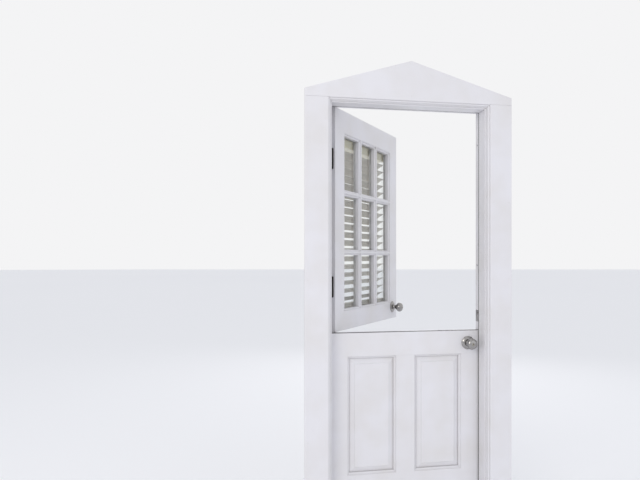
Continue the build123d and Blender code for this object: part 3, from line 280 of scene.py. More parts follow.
@dataclass(frozen=True)
class ClearBody(Finish):
    """Float glass or cast acrylic: a hard bright reflection, and a faint colour in its edge."""

    tint: str = "#F6F9F7"
    lamp_tint: str = "#F8FAF9"
    roughness: float = 0.0
    ior: float = 1.5
    roll: float = 0.08

    def surface(self, tree: Tree) -> Socket:
        """Draw a clear body, with the slow roll of old panes, that casts no dark shadow.

        Args:
            tree: the material's tree.

        Returns:
            The shader.
        """
        # The roll runs over some 30 mm
        roll = {"Vector": self.place(tree, (35.0, 35.0, 25.0)), "Scale": 1.0, "Detail": 1.0}
        roll = add(tree, "ShaderNodeTexNoise", roll)
        shader = {
            "Base Color": srgb(self.tint),
            "Roughness": self.roughness,
            "IOR": self.ior,
            "Transmission Weight": 1.0,
            "Normal": add(tree, "ShaderNodeBump", {"Height": roll, "Strength": self.roll, "Distance": 0.002}),
        }
        body = add(tree, "ShaderNodeBsdfPrincipled", shader)
        clear = add(tree, "ShaderNodeBsdfTransparent", {"Color": srgb(self.lamp_tint)})
        lamp = add(tree, "ShaderNodeLightPath", out="Is Shadow Ray")
        return add(tree, "ShaderNodeMixShader", {0: lamp, 1: body, 2: clear})


@dataclass(frozen=True)
class PlatedMetal(Finish):
    """Plated or milled metal with fine tool lines and handled edges."""

    code: str = "#A3A1A0"
    dark: str = "#999796"
    edge: str = "#C8C6C3"
    roughness: float = 0.18
    metallic: float = 1.0
    lines: Point = (4500.0, 300.0, 4500.0)
    depth: float = 0.10
    rim_reach: float = 0.0009
    arris: float = 0.0006

    def surface(self, tree: Tree) -> Socket:
        """Draw metal with tool lines, cloudy tarnish and brighter edges.

        Args:
            tree: the material's tree.

        Returns:
            The shader.
        """
        # Polishing lines are under 0.1 mm apart; they are drawn some 0.2 mm apart to show close up
        tool = {"Vector": self.place(tree, self.lines), "Scale": 1.0, "Detail": 2.0}
        # Handling clouds the plate over some 5 mm
        cloud = {"Vector": self.place(tree, (190.0, 190.0, 190.0)), "Scale": 1.0, "Detail": 3.0}
        tool, cloud = (add(tree, "ShaderNodeTexNoise", noise) for noise in (tool, cloud))
        colour = self.lay_over(tree, cloud, 0.4, 0.68, self.code, self.dark)
        rim = {0: self.edges(tree, self.rim_reach), 6: colour, 7: srgb(self.edge)}
        gloss = {0: cloud, 1: 0.3, 2: 0.7, 3: self.roughness - 0.02, 4: self.roughness + 0.03}
        shader = {
            "Base Color": add(tree, "ShaderNodeMix", rim, 2, data_type="RGBA"),
            "Metallic": self.metallic,
            "Roughness": add(tree, "ShaderNodeMapRange", gloss),
            "Normal": self.relief(tree, self.arris, (tool, self.depth, 0.0003)),
        }
        return add(tree, "ShaderNodeBsdfPrincipled", shader)


@dataclass(frozen=True)
class MouldedPolymer(Finish):
    """Moulded or extruded plastic, rubber or enamel with a fine skin."""

    code: str = "#1E1B1B"
    shade: str = "#2B2725"
    roughness: float = 0.6
    texture: Point = (3500.0, 3500.0, 3500.0)
    depth: float = 0.15
    coat: float = 0.0
    arris: float = 0.0007

    def surface(self, tree: Tree) -> Socket:
        """Draw a skin with a fine texture and slow shading.

        Args:
            tree: the material's tree.

        Returns:
            The shader.
        """
        skin = {"Vector": self.place(tree, self.texture), "Scale": 1.0, "Detail": 2.0}
        # The colour drifts over some 50 mm
        drift = {"Vector": self.place(tree, (20.0, 20.0, 20.0)), "Scale": 1.0, "Detail": 2.0}
        skin, drift = (add(tree, "ShaderNodeTexNoise", noise) for noise in (skin, drift))
        gloss = {0: skin, 1: 0.3, 2: 0.7, 3: self.roughness - 0.05, 4: self.roughness + 0.07}
        shader = {
            "Base Color": self.lay_over(tree, drift, 0.35, 0.7, self.code, self.shade),
            "Roughness": add(tree, "ShaderNodeMapRange", gloss),
            "Normal": self.relief(tree, self.arris, (skin, self.depth, 0.0004)),
            "IOR": 1.48,
            "Coat Weight": self.coat,
        }
        return add(tree, "ShaderNodeBsdfPrincipled", shader)


@dataclass(frozen=True)
class BraidedCord(Finish):
    """Braided polyester cord: soft, pale, with a crossing weave of some 0.2 mm."""

    def surface(self, tree: Tree) -> Socket:
        """Cross two waves for the braid.

        Args:
            tree: the material's tree.

        Returns:
            The shader.
        """
        waves = []
        for lean in (0.9, -0.9):
            where = self.place(tree, (1600.0, 1600.0, 1600.0), (lean, lean, 0.0))
            wave = {"Vector": where, "Scale": 1.0, "Distortion": 0.4}
            waves.append(add(tree, "ShaderNodeTexWave", wave, "Fac"))
        weave = add(tree, "ShaderNodeMath", {0: waves[0], 1: waves[1]}, operation="MAXIMUM")
        # Painted shade and light: the colour follows the bump's height, darker in the hollows, paler on the
        # raised strands
        braid = {0: weave, 6: srgb("#B9B1A2"), 7: srgb("#E2DCCF")}
        shader = {
            "Base Color": add(tree, "ShaderNodeMix", braid, 2, data_type="RGBA"),
            "Roughness": 0.8,
            "Normal": add(tree, "ShaderNodeBump", {"Height": weave, "Strength": 0.4, "Distance": 0.0003}),
        }
        return add(tree, "ShaderNodeBsdfPrincipled", shader)


@dataclass(frozen=True)
class StudioPaper(Finish):
    """Seamless studio paper, the pale floor that the door stands on."""

    def surface(self, tree: Tree) -> Socket:
        """Draw matt paper with a breath of tone.

        Args:
            tree: the material's tree.

        Returns:
            The shader.
        """
        where = self.place(tree, (0.025, 0.025, 0.025))
        tone = add(tree, "ShaderNodeTexNoise", {"Vector": where, "Scale": 1.0, "Detail": 2.0})
        colour = self.lay_over(tree, tone, 0.3, 0.7, "#F8F8F9", "#F5F5F7")
        return add(tree, "ShaderNodeBsdfPrincipled", {"Base Color": colour, "Roughness": 0.85})


# Cool white gloss whose brush strokes run up the stiles, jambs and panels
UPRIGHT_PAINT = PaintedTimber("white_gloss_paint_on_upright_softwood")
# The same white with its strokes along the rails and the head
LEVEL_PAINT = PaintedTimber("white_gloss_paint_on_level_softwood", grain=Grain.LEVEL)
# The same again, its strokes turned with the open upper leaf
SWUNG_PAINT = PaintedTimber("white_gloss_paint_on_swung_rail", grain=Grain.LEVEL_SWUNG)
# Greyer and duller from shoes, and worn to the primer at its edges
SILL_PAINT = PaintedTimber(
    "walked_on_sill_paint", "#D9D8D8", "#CBC8C4", grain=Grain.LEVEL, wear=0.8, roughness=0.42
)
# Clear, with a hard bright reflection that rolls a little
CLEAR_GLASS = ClearBody("clear_float_glass")
# A soft mirror, from pale to dark grey round each knob
SATIN_NICKEL = PlatedMetal("satin_nickel_plate", depth=0.05)
# Warmer and duller than the knob that it sits in
KEY_PLUG = PlatedMetal("nickel_silver_key_plug", "#A5A097", "#8A857B", "#CCC8BE", 0.28)
# Nearly black, rubbed to brown at its edges
RUBBED_BRONZE = PlatedMetal("oil_rubbed_bronze", "#39312D", "#292322", "#634C3B", 0.42, 0.85, depth=0.2)
# A bluish grey with dull clouds
ZINC_SCREW = PlatedMetal("zinc_plated_screw", "#A7A9AB", "#7D7F82", "#CFD1D2", 0.32)
# Dull silver with fine lines along the threshold
MILL_ALUMINIUM = PlatedMetal(
    "mill_finish_aluminium", "#B4B5B7", "#96979A", "#D5D6D8", 0.36, lines=(100.0, 4500.0, 4500.0)
)
# Matt black that takes no highlight
SEAL_RUBBER = MouldedPolymer("extruded_seal_rubber", roughness=0.7)
# Warm stone grey with a soft sheen and fine level lines
SLAT_VINYL = MouldedPolymer("foamed_vinyl_slat", "#C4BCB0", "#BBB3A7", 0.42, (60.0, 60.0, 2100.0), 0.25)
# Warm cream with a wet shine
CREAM_ENAMEL = MouldedPolymer(
    "cream_baked_enamel", "#E3DABA", "#DDD2AE", 0.3, texture=(1300.0, 1300.0, 1300.0), coat=0.2
)
# Soft and matt, with painted shade in the weave's hollows and painted light on its raised strands
CORD = BraidedCord("braided_polyester_cord")
# Clear and a little warm, bright along its flats
ACRYLIC = ClearBody("cast_acrylic_rod", "#EFEDE6", "#E4E2DC", roughness=0.06, ior=1.49, roll=0.0)
# The paint's white, duller and finely pitted
FILLER = MouldedPolymer("painted_nail_filler", "#E2E1E2", "#D6D4D2", 0.5, (2000.0, 2000.0, 2000.0))
# Even and nearly white, with only the door's shadow on it
PAPER = StudioPaper("seamless_studio_paper")


# Mesh helpers


def at(x: float, y: float, z: float) -> Matrix:
    """A move by millimetres."""
    return Matrix.Translation((x * MM, y * MM, z * MM))


def linked(name: str, data: Any) -> Piece:
    """Make an object of its data and link it to the scene.

    Args:
        name: the object's name.
        data: its mesh, lamp or camera.

    Returns:
        The object.
    """
    piece = bpy.data.objects.new(name, data)
    bpy.context.scene.collection.objects.link(piece)
    return piece


def settled(shape: bmesh.types.BMesh) -> Mesh:
    """Turn a shape that is being drawn into a mesh.

    Args:
        shape: the shape, which is freed.

    Returns:
        The mesh.
    """
    mesh = bpy.data.meshes.new("settled")
    shape.to_mesh(mesh)
    shape.free()
    return mesh


def baked(carrier: Piece, *tools: Piece) -> Mesh:
    """Run an object's modifiers.

    Args:
        carrier: the object, which is then removed.
        tools: the objects that its modifiers use, which are removed too.

    Returns:
        The result as a plain mesh.
    """
    graph = bpy.context.evaluated_depsgraph_get()
    mesh = bpy.data.meshes.new_from_object(carrier.evaluated_get(graph))
    carrier.modifiers.clear()
    for used in (carrier, *tools):
        bpy.data.objects.remove(used)
    return mesh


def hang(
    name: str,
    mesh: Mesh,
    finish: Finish,
    body: str,
    slot: str,
    *replaced: str,
    place: Matrix = SHUT,
    smooth: float = 35.0,
) -> None:
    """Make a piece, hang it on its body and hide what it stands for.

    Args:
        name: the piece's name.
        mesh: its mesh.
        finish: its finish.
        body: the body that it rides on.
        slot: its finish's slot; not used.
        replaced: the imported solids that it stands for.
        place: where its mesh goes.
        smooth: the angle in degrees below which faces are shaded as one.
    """
    mesh.name = name
    mesh.transform(place)
    mesh.update()
    mesh.materials.clear()
    mesh.materials.append(finish.material())
    piece = linked(name, mesh)
    mesh.polygons.foreach_set("use_smooth", [True] * len(mesh.polygons))
    mesh.set_sharp_from_angle(angle=math.radians(smooth))
    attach(piece, body)
    if replaced:
        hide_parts(*replaced)
    LOG.info("piece %s rides on %s", name, body)


def dress(finish: Finish, *names: str) -> None:
    """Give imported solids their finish.

    Args:
        finish: the finish.
        names: the solids.
    """
    for name in names:
        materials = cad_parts[name].data.materials
        materials.clear()
        materials.append(finish.material())
        LOG.info("solid %s is finished in %s", name, finish.name)


def lathe(outline: Sequence[tuple[float, float]], steps: int) -> Mesh:
    """Turn a half section about +Z into a closed solid.

    Args:
        outline: radius and height in millimetres, from one end on the axis to the other,
            or a closed loop clear of the axis.
        steps: sides round the axis.

    Returns:
        The mesh, with its faces pointing outwards.
    """
    shape = bmesh.new()
    turns = [(math.cos(FULL_TURN * i / steps), math.sin(FULL_TURN * i / steps)) for i in range(steps)]
    rings = []
    for radius, height in outline:
        around = turns if radius > 0 else [(0.0, 0.0)]
        rings.append([shape.verts.new((radius * MM * c, radius * MM * s, height * MM)) for c, s in around])
    pairs = list(zip(rings, rings[1:]))
    if len(rings[0]) > 1 and len(rings[-1]) > 1:
        pairs.append((rings[-1], rings[0]))
    for low, high in pairs:
        for i in range(steps):
            j = (i + 1) % steps
            loop = [low[i % len(low)], low[j % len(low)], high[j % len(high)], high[i % len(high)]]
            loop = [v for k, v in enumerate(loop) if v not in loop[:k]]
            if len(loop) > 2:
                shape.faces.new(loop)
    bmesh.ops.recalc_face_normals(shape, faces=shape.faces)
    return settled(shape)


def smooth_path(points: Sequence[tuple[float, float]], per_span: int) -> list[tuple[float, float]]:
    """Draw a flowing line through points, for a turned profile.

    Args:
        points: the points that it passes.
        per_span: steps from each point to the next.

    Returns:
        The line's points, both ends included.
    """
    pts = [np.array(p, float) for p in points]
    pts = [2 * pts[0] - pts[1], *pts, 2 * pts[-1] - pts[-2]]
    line = []
    for a, b, c, d in zip(pts, pts[1:], pts[2:], pts[3:]):
        for t in (i / per_span for i in range(per_span)):
            bend = (2 * a - 5 * b + 4 * c - d) * t**2 + (3 * b - a - 3 * c + d) * t**3
            line.append(tuple(0.5 * (2 * b + (c - a) * t + bend)))
    return [*line, tuple(pts[-2])]


def add_cone(
    shape: bmesh.types.BMesh, sides: int, foot: float, top: float, height: float, place: Matrix
) -> None:
    """Add a closed cone, in millimetres: its foot and top radii, its height and its middle's place."""
    size = {"radius1": foot * MM, "radius2": top * MM, "depth": height * MM}
    bmesh.ops.create_cone(shape, cap_ends=True, segments=sides, matrix=place, **size)


def rods(ends: Sequence[tuple[Point, Point]], radius: float, sides: int) -> Mesh:
    """Make round rods, closed at both ends.

    Args:
        ends: both ends of each rod, in millimetres.
        radius: their radius in millimetres.
        sides: their sides.

    Returns:
        One mesh with every rod.
    """
    shape = bmesh.new()
    for start, end in ends:
        way, middle = Vector(end) - Vector(start), (Vector(end) + Vector(start)) / 2
        turn = way.to_track_quat("Z", "Y").to_matrix().to_4x4()
        add_cone(shape, sides, radius, radius, way.length, at(*middle) @ turn)
    return settled(shape)


def eased_block(low: Point, high: Point, ease: float) -> Mesh:
    """Make a block with chamfered edges.

    Args:
        low: one corner, in millimetres.
        high: the opposite corner, in millimetres.
        ease: the chamfer in millimetres.

    Returns:
        The mesh.
    """
    shape = bmesh.new()
    size, middle = Vector(high) - Vector(low), (Vector(high) + Vector(low)) / 2
    bmesh.ops.create_cube(shape, size=1.0, matrix=at(*middle) @ Matrix.Diagonal((*(size * MM), 1.0)))
    bmesh.ops.bevel(shape, geom=list(shape.edges), offset=ease * MM, segments=1, profile=0.5, affect="EDGES")
    return settled(shape)


# Repeats, made with Geometry Nodes


@dataclass
class Repeat:
    """A small part that a Geometry Nodes tree puts at points."""

    finish: Finish

    def sizes(self) -> dict[str, float]:
        """The tree's named inputs, in metres, radians and counts."""
        raise NotImplementedError

    def copies(self, tree: Tree, take: bpy.types.NodeOutputs) -> dict[str, Socket]:
        """Draw the part and the points, for Instance on Points to take in."""
        raise NotImplementedError

    def bake(self, base: Optional[Mesh] = None) -> Mesh:
        """Draw the tree and run it.

        Args:
            base: the mesh that the tree starts from, if it needs one.

        Returns:
            The result as a plain mesh.
        """
        tree = bpy.data.node_groups.new("repeat", "GeometryNodeTree")
        new_socket, values = tree.interface.new_socket, {}
        new_socket("Geometry", in_out="INPUT", socket_type="NodeSocketGeometry")
        for name, value in self.sizes().items():
            kind = "NodeSocketInt" if isinstance(value, int) else "NodeSocketFloat"
            values[new_socket(name, in_out="INPUT", socket_type=kind).identifier] = value
        new_socket("Geometry", in_out="OUTPUT", socket_type="NodeSocketGeometry")
        take = add(tree, "NodeGroupInput").node.outputs
        spread = add(tree, "GeometryNodeInstanceOnPoints", self.copies(tree, take))
        real = add(tree, "GeometryNodeRealizeInstances", {"Geometry": spread})
        done = add(tree, "GeometryNodeSetMaterial", {"Geometry": real, "Material": self.finish.material()})
        add(tree, "NodeGroupOutput", {"Geometry": done})
        carrier = linked("carrier", base or bpy.data.meshes.new("base"))
        modifier = carrier.modifiers.new("repeat", "NODES")
        modifier.node_group = tree
        for identifier, value in values.items():
            modifier[identifier] = value
        return baked(carrier)


@dataclass
class Screws(Repeat):
    """Countersunk screws with a cross recess, one at each point of a small mesh."""

    head_r: float
    recess: float = 0.8
    sides: int = 20
    seed: int = 7

    def sizes(self) -> dict[str, float]:
        """The head's radius and the depth of its recess."""
        return {"head_radius": self.head_r * MM, "recess": self.recess * MM}

    def copies(self, tree: Tree, take: bpy.types.NodeOutputs) -> dict[str, Socket]:
        """Draw a screw, to be turned to its way and spun at random.

        Args:
            tree: the tree.
            take: the sockets of its named inputs.

        Returns:
            What Instance on Points takes in.
        """
        radius = take["head_radius"]
        # The screw's other sizes are shares of its head's radius
        shares = {"top": 0.82, "height": 0.22, "tip": 0.5, "shank": 0.3, "bar": 1.15, "gap": 0.24}
        size = {
            name: add(tree, "ShaderNodeMath", {0: radius, 1: share}, operation="MULTIPLY")
            for name, share in shares.items()
        }
        sides = {"Vertices": self.sides, "Radius Bottom": radius}
        head = {**sides, "Radius Top": size["top"], "Depth": size["height"]}
        shank = {**sides, "Radius Top": size["tip"], "Depth": size["shank"]}
        head, shank = (add(tree, "GeometryNodeMeshCone", cone) for cone in (head, shank))
        shank = add(tree, "GeometryNodeTransform", {"Geometry": shank, "Rotation": (math.pi, 0, 0)})
        solid = add(tree, "GeometryNodeJoinGeometry", {0: [head, shank]})
        solid = add(tree, "GeometryNodeMergeByDistance", {"Geometry": solid, "Distance": 1e-6})
        deep = add(tree, "ShaderNodeMath", {0: take["recess"], 1: 2.0}, operation="MULTIPLY")
        bars = []
        for turn in (0.0, math.pi / 2):
            block = add(tree, "ShaderNodeCombineXYZ", {"X": size["bar"], "Y": size["gap"], "Z": deep})
            bar = add(tree, "GeometryNodeMeshCube", {"Size": block})
            lift = add(tree, "ShaderNodeCombineXYZ", {"Z": size["height"]})
            place = {"Geometry": bar, "Rotation": (0, 0, turn), "Translation": lift}
            bars.append(add(tree, "GeometryNodeTransform", place))
        cross = add(tree, "GeometryNodeJoinGeometry", {0: bars})
        cut = add(tree, "GeometryNodeMeshBoolean", {"Mesh 1": solid, "Mesh 2": cross}, operation="DIFFERENCE")
        way = add(tree, "GeometryNodeInputNamedAttribute", {"Name": "facing"}, data_type="FLOAT_VECTOR")
        aim = add(tree, "FunctionNodeAlignEulerToVector", {"Vector": way}, axis="Z")
        twist = {"Min": 0.0, "Max": 1.5, "Seed": self.seed}
        twist = add(tree, "FunctionNodeRandomValue", twist, 1, data_type="FLOAT")
        spin = add(tree, "ShaderNodeCombineXYZ", {"Z": twist})
        aim = add(tree, "FunctionNodeRotateEuler", {"Rotation": aim, "Rotate By": spin}, space="LOCAL")
        return {"Points": take["Geometry"], "Instance": cut, "Rotation": aim}

    def drive(self, name: str, spots: Sequence[Spot], body: str, slot: str, swing: Matrix = SHUT) -> None:
        """Drive a screw at each spot and hang them as one piece.

        Args:
            name: the piece's name.
            spots: the screws' spots, as they are when the leaf is shut.
            body: the body that carries them.
            slot: their finish's slot.
            swing: how that body stands.
        """
        base = bpy.data.meshes.new("points")
        base.from_pydata([Vector(point) * MM for point, _ in spots], [], [])
        ways = base.attributes.new("facing", "FLOAT_VECTOR", "POINT")
        ways.data.foreach_set("vector", [c for _, way in spots for c in way])
        hang(name, self.bake(base), self.finish, body, slot, place=swing)


@dataclass
class Slats(Repeat):
    """Crowned blind slats on a vertical line, tilted, with a slot for the cords at two places."""

    count: int
    pitch: float
    length: float
    width: float
    tilt: float
    slot_x: float
    thickness: float = 2.6
    crown: float = 2.0
    slot_r: float = 2.5
    slot_stretch: float = 2.8
    punch_depth: float = 20.0
    stray: float = 0.014
    seed: int = 11

    def sizes(self) -> dict[str, float]:
        """Give the slats' sizes, pitch, tilt and count.

        Returns:
            The tree's named inputs, in metres, radians and counts.
        """
        names = ("length", "width", "thickness", "crown", "pitch", "slot_x")
        scaled = {name: getattr(self, name) * MM for name in names}
        return {**scaled, "tilt": math.radians(-self.tilt), "count": self.count}

    def copies(self, tree: Tree, take: bpy.types.NodeOutputs) -> dict[str, Socket]:
        """Bow a sheet, thicken it, rout its slots, and lay a line of points from the lowest slat up.

        Args:
            tree: the tree.
            take: the sockets of its named inputs.

        Returns:
            What Instance on Points takes in.
        """
        grid = {"Size X": take["length"], "Size Y": take["width"], "Vertices X": 13, "Vertices Y": 9}
        sheet = add(tree, "GeometryNodeMeshGrid", grid)
        # The sheet bows up in a parabola over its width
        across = add(tree, "ShaderNodeSeparateXYZ", {0: add(tree, "GeometryNodeInputPosition")}, "Y")
        share = add(tree, "ShaderNodeMath", {0: across, 1: take["width"]}, operation="DIVIDE")
        square = add(tree, "ShaderNodeMath", {0: share, 1: share}, operation="MULTIPLY")
        fall = add(tree, "ShaderNodeMath", {0: square, 1: -4.0, 2: 1.0}, operation="MULTIPLY_ADD")
        rise = add(tree, "ShaderNodeMath", {0: fall, 1: take["crown"]}, operation="MULTIPLY")
        lift = add(tree, "ShaderNodeCombineXYZ", {"Z": rise})
        bowed = add(tree, "GeometryNodeSetPosition", {"Geometry": sheet, "Offset": lift})
        drop = add(tree, "ShaderNodeMath", {0: take["thickness"], 1: -1.0}, operation="MULTIPLY")
        wall = {"Mesh": bowed, "Offset": (0.0, 0.0, 1.0), "Offset Scale": drop, "Individual": False}
        thick = add(tree, "GeometryNodeExtrudeMesh", wall, mode="FACES")
        back = add(tree, "GeometryNodeFlipFaces", {"Mesh": bowed})
        both = add(tree, "GeometryNodeJoinGeometry", {0: [thick, back]})
        closed = add(tree, "GeometryNodeMergeByDistance", {"Geometry": both, "Distance": 1e-6})
        closed = add(tree, "GeometryNodeFlipFaces", {"Mesh": closed})
        punches = []
        for way in (-1.0, 1.0):
            middle = add(tree, "ShaderNodeMath", {0: take["slot_x"], 1: way}, operation="MULTIPLY")
            spot = add(tree, "ShaderNodeCombineXYZ", {"X": middle})
            size = {"Vertices": 16, "Radius": self.slot_r * MM, "Depth": self.punch_depth * MM}
            punch = add(tree, "GeometryNodeMeshCylinder", size)
            place = {"Geometry": punch, "Translation": spot, "Scale": (1.0, self.slot_stretch, 1.0)}
            punches.append(add(tree, "GeometryNodeTransform", place))
        slots = add(tree, "GeometryNodeJoinGeometry", {0: punches})
        routed = {"Mesh 1": closed, "Mesh 2": slots}
        routed = add(tree, "GeometryNodeMeshBoolean", routed, operation="DIFFERENCE")
        step = add(tree, "ShaderNodeCombineXYZ", {"Z": take["pitch"]})
        line = add(tree, "GeometryNodeMeshLine", {"Count": take["count"], "Offset": step})
        # Each slat hangs a touch out of true, as cords never pull quite alike
        stray = {2: -self.stray, 3: self.stray, "Seed": self.seed}
        stray = add(tree, "FunctionNodeRandomValue", stray, 1, data_type="FLOAT")
        lean = add(tree, "ShaderNodeMath", {0: take["tilt"], 1: stray}, operation="ADD")
        turn = add(tree, "ShaderNodeCombineXYZ", {"X": lean})
        return {"Points": line, "Instance": routed, "Rotation": turn}


@dataclass
class Ribs(Repeat):
    """Half-round ribs along X, side by side along Y, such as the tread of a threshold."""

    count: int
    pitch: float
    length: float
    radius: float

    def sizes(self) -> dict[str, float]:
        """The ribs' sizes, pitch and count."""
        scaled = {name: getattr(self, name) * MM for name in ("length", "radius", "pitch")}
        return {**scaled, "count": self.count}

    def copies(self, tree: Tree, take: bpy.types.NodeOutputs) -> dict[str, Socket]:
        """Draw a rib and a line of points.

        Args:
            tree: the tree.
            take: the sockets of its named inputs.

        Returns:
            What Instance on Points takes in.
        """
        size = {"Vertices": 12, "Radius": take["radius"], "Depth": take["length"]}
        bar = add(tree, "GeometryNodeMeshCylinder", size)
        bar = add(tree, "GeometryNodeTransform", {"Geometry": bar, "Rotation": (0, math.pi / 2, 0)})
        step = add(tree, "ShaderNodeCombineXYZ", {"Y": take["pitch"]})
        line = add(tree, "GeometryNodeMeshLine", {"Count": take["count"], "Offset": step})
        return {"Points": line, "Instance": bar}


# Sub-assemblies, with their sizes in millimetres


@dataclass
class DoorFrame:
    """Jambs, head, casings, sill, threshold, seals and the frame's own metal."""

    casing_x: float = 393.0
    casing_w: float = 110.0
    casing_y: float = -92.0
    nail_inset: float = 14.0
    nail_levels: tuple[float, ...] = (150.0, 518.0, 886.0, 1254.0, 1622.0, 1990.0)
    head_nails_x: tuple[float, ...] = (-440.0, -220.0, 0.0, 220.0, 440.0)
    head_nails_z: float = 2112.0
    filling: Point = (2.1, 1.7, 0.5)  # foot radius, top radius and height
    threshold_top: float = 38.0
    threshold_y: float = 28.0
    fixing_out: float = 1.2
    fixing_y: float = 30.0
    fixing_z: tuple[float, ...] = (120.0, 720.0, 1320.0, 1920.0)
    strike_out: float = 0.6
    strike_y: float = 22.0
    strike_spacing: float = 38.0

    def build(self) -> None:
        """Dress the frame and add its screws, tread and nail fillings."""
        dress(UPRIGHT_PAINT, "hinge_jamb", "strike_jamb", "casing_left", "casing_right")
        dress(UPRIGHT_PAINT, "mould_left", "mould_right", "door_stops")
        dress(LEVEL_PAINT, "head_jamb", "head_casing", "mould_head")
        dress(SILL_PAINT, "sill")
        dress(MILL_ALUMINIUM, "threshold")
        dress(SEAL_RUBBER, "weatherstrip")
        dress(SATIN_NICKEL, "strike_plates")
        dress(RUBBED_BRONZE, "hinge_plates_jamb", "hinge_pins")
        self.screws()
        ribs = Ribs(MILL_ALUMINIUM, count=3, pitch=4.0, length=764.0, radius=0.6)
        # The ribs are set into the threshold's level top by half a radius
        place = at(0.0, self.threshold_y, self.threshold_top - ribs.radius / 2)
        hang("threshold_ribs", ribs.bake(), MILL_ALUMINIUM, "frame", "aluminium", place=place)
        self.nail_fillings()

    def screws(self) -> None:
        """Drive frame screws through both jambs and small screws in the strike plates."""
        head = JAMB_FACE_X + self.fixing_out
        spots = [((side * head, self.fixing_y, z), (-side, 0, 0)) for side in (-1, 1) for z in self.fixing_z]
        Screws(ZINC_SCREW, head_r=5.2, recess=1.0).drive("frame_screws", spots, "frame", "aluminium")
        head, half = JAMB_FACE_X + self.strike_out, self.strike_spacing / 2
        levels = [z + dz for z in (UPPER_LOCK_Z, LOWER_LOCK_Z) for dz in (-half, half)]
        spots = [((head, self.strike_y, z), (-1, 0, 0)) for z in levels]
        Screws(SATIN_NICKEL, head_r=3.2).drive("strike_screws", spots, "frame", "satin_nickel")

    def nail_fillings(self) -> None:
        """Fill the nail holes, in pairs down the casings and along the head board."""
        columns = [self.casing_x + self.nail_inset, self.casing_x + self.casing_w - self.nail_inset]
        spots = [(side * x, z) for side in (-1, 1) for z in self.nail_levels for x in columns]
        spots += [(x, self.head_nails_z) for x in self.head_nails_x]
        shape = bmesh.new()
        for x, z in spots:
            place = at(x, self.casing_y, z) @ Matrix.Rotation(math.pi / 2, 4, "X")
            add_cone(shape, 14, *self.filling, place)
        hang("nail_fillings", settled(shape), FILLER, "frame", "white_paint")


@dataclass
class UpperLeaf:
    """The glazed leaf: painted members, panes, beads and seal."""

    def build(self) -> None:
        """Dress the upper leaf's solids."""
        dress(UPRIGHT_PAINT, "upper_hinge_stile", "upper_lock_stile", "upper_muntins", "upper_glazing_beads")
        dress(SWUNG_PAINT, "upper_top_rail", "upper_bottom_rail")
        dress(CLEAR_GLASS, "upper_glass_panes")
        dress(SEAL_RUBBER, "upper_bottom_seal")
        dress(RUBBED_BRONZE, "upper_hinge_plates")


@dataclass
class LowerLeaf:
    """The panelled leaf: painted members, raised panels, seal and sweep."""

    def build(self) -> None:
        """Dress the lower leaf's solids."""
        dress(UPRIGHT_PAINT, "lower_hinge_stile", "lower_lock_stile", "lower_mullion")
        dress(UPRIGHT_PAINT, "lower_panel_left", "lower_panel_right")
        dress(LEVEL_PAINT, "lower_top_rail", "lower_bottom_rail")
        dress(SEAL_RUBBER, "lower_top_seal", "lower_sweep")
        dress(RUBBED_BRONZE, "lower_hinge_plates")


@dataclass
class HingeScrews:
    """The screws of the four butt hinges, in a staggered column on each plate."""

    width: float = 42.0
    inset: float = 16.0
    stagger: float = 5.0
    off_pin: float = 2.4
    rows: tuple[float, ...] = (-38.0, -13.0, 13.0, 38.0)
    upper: tuple[float, ...] = (1217.0, 1832.0)
    lower: tuple[float, ...] = (276.0, 818.0)

    def build(self) -> None:
        """Drive the screws on each body: side -1 is the jamb's plate and side 1 the leaf's."""
        middle = PIN_Y - self.width + self.inset
        near, far = middle + self.stagger, middle - self.stagger
        columns = list(zip(self.rows, (near, far, far, near)))
        jobs = (
            ("hinge_screws_frame", self.upper + self.lower, -1, SHUT, "frame"),
            ("hinge_screws_upper", self.upper, 1, OPEN, "upper_leaf"),
            ("hinge_screws_lower", self.lower, 1, SHUT, "lower_leaf"),
        )
        for name, levels, side, swing, body in jobs:
            x = PIN_X + side * self.off_pin
            spots = [((x, y, z + row), (-side, 0, 0)) for z in levels for row, y in columns]
            Screws(RUBBED_BRONZE, head_r=4.0, recess=0.9).drive(name, spots, body, "dark_bronze", swing)


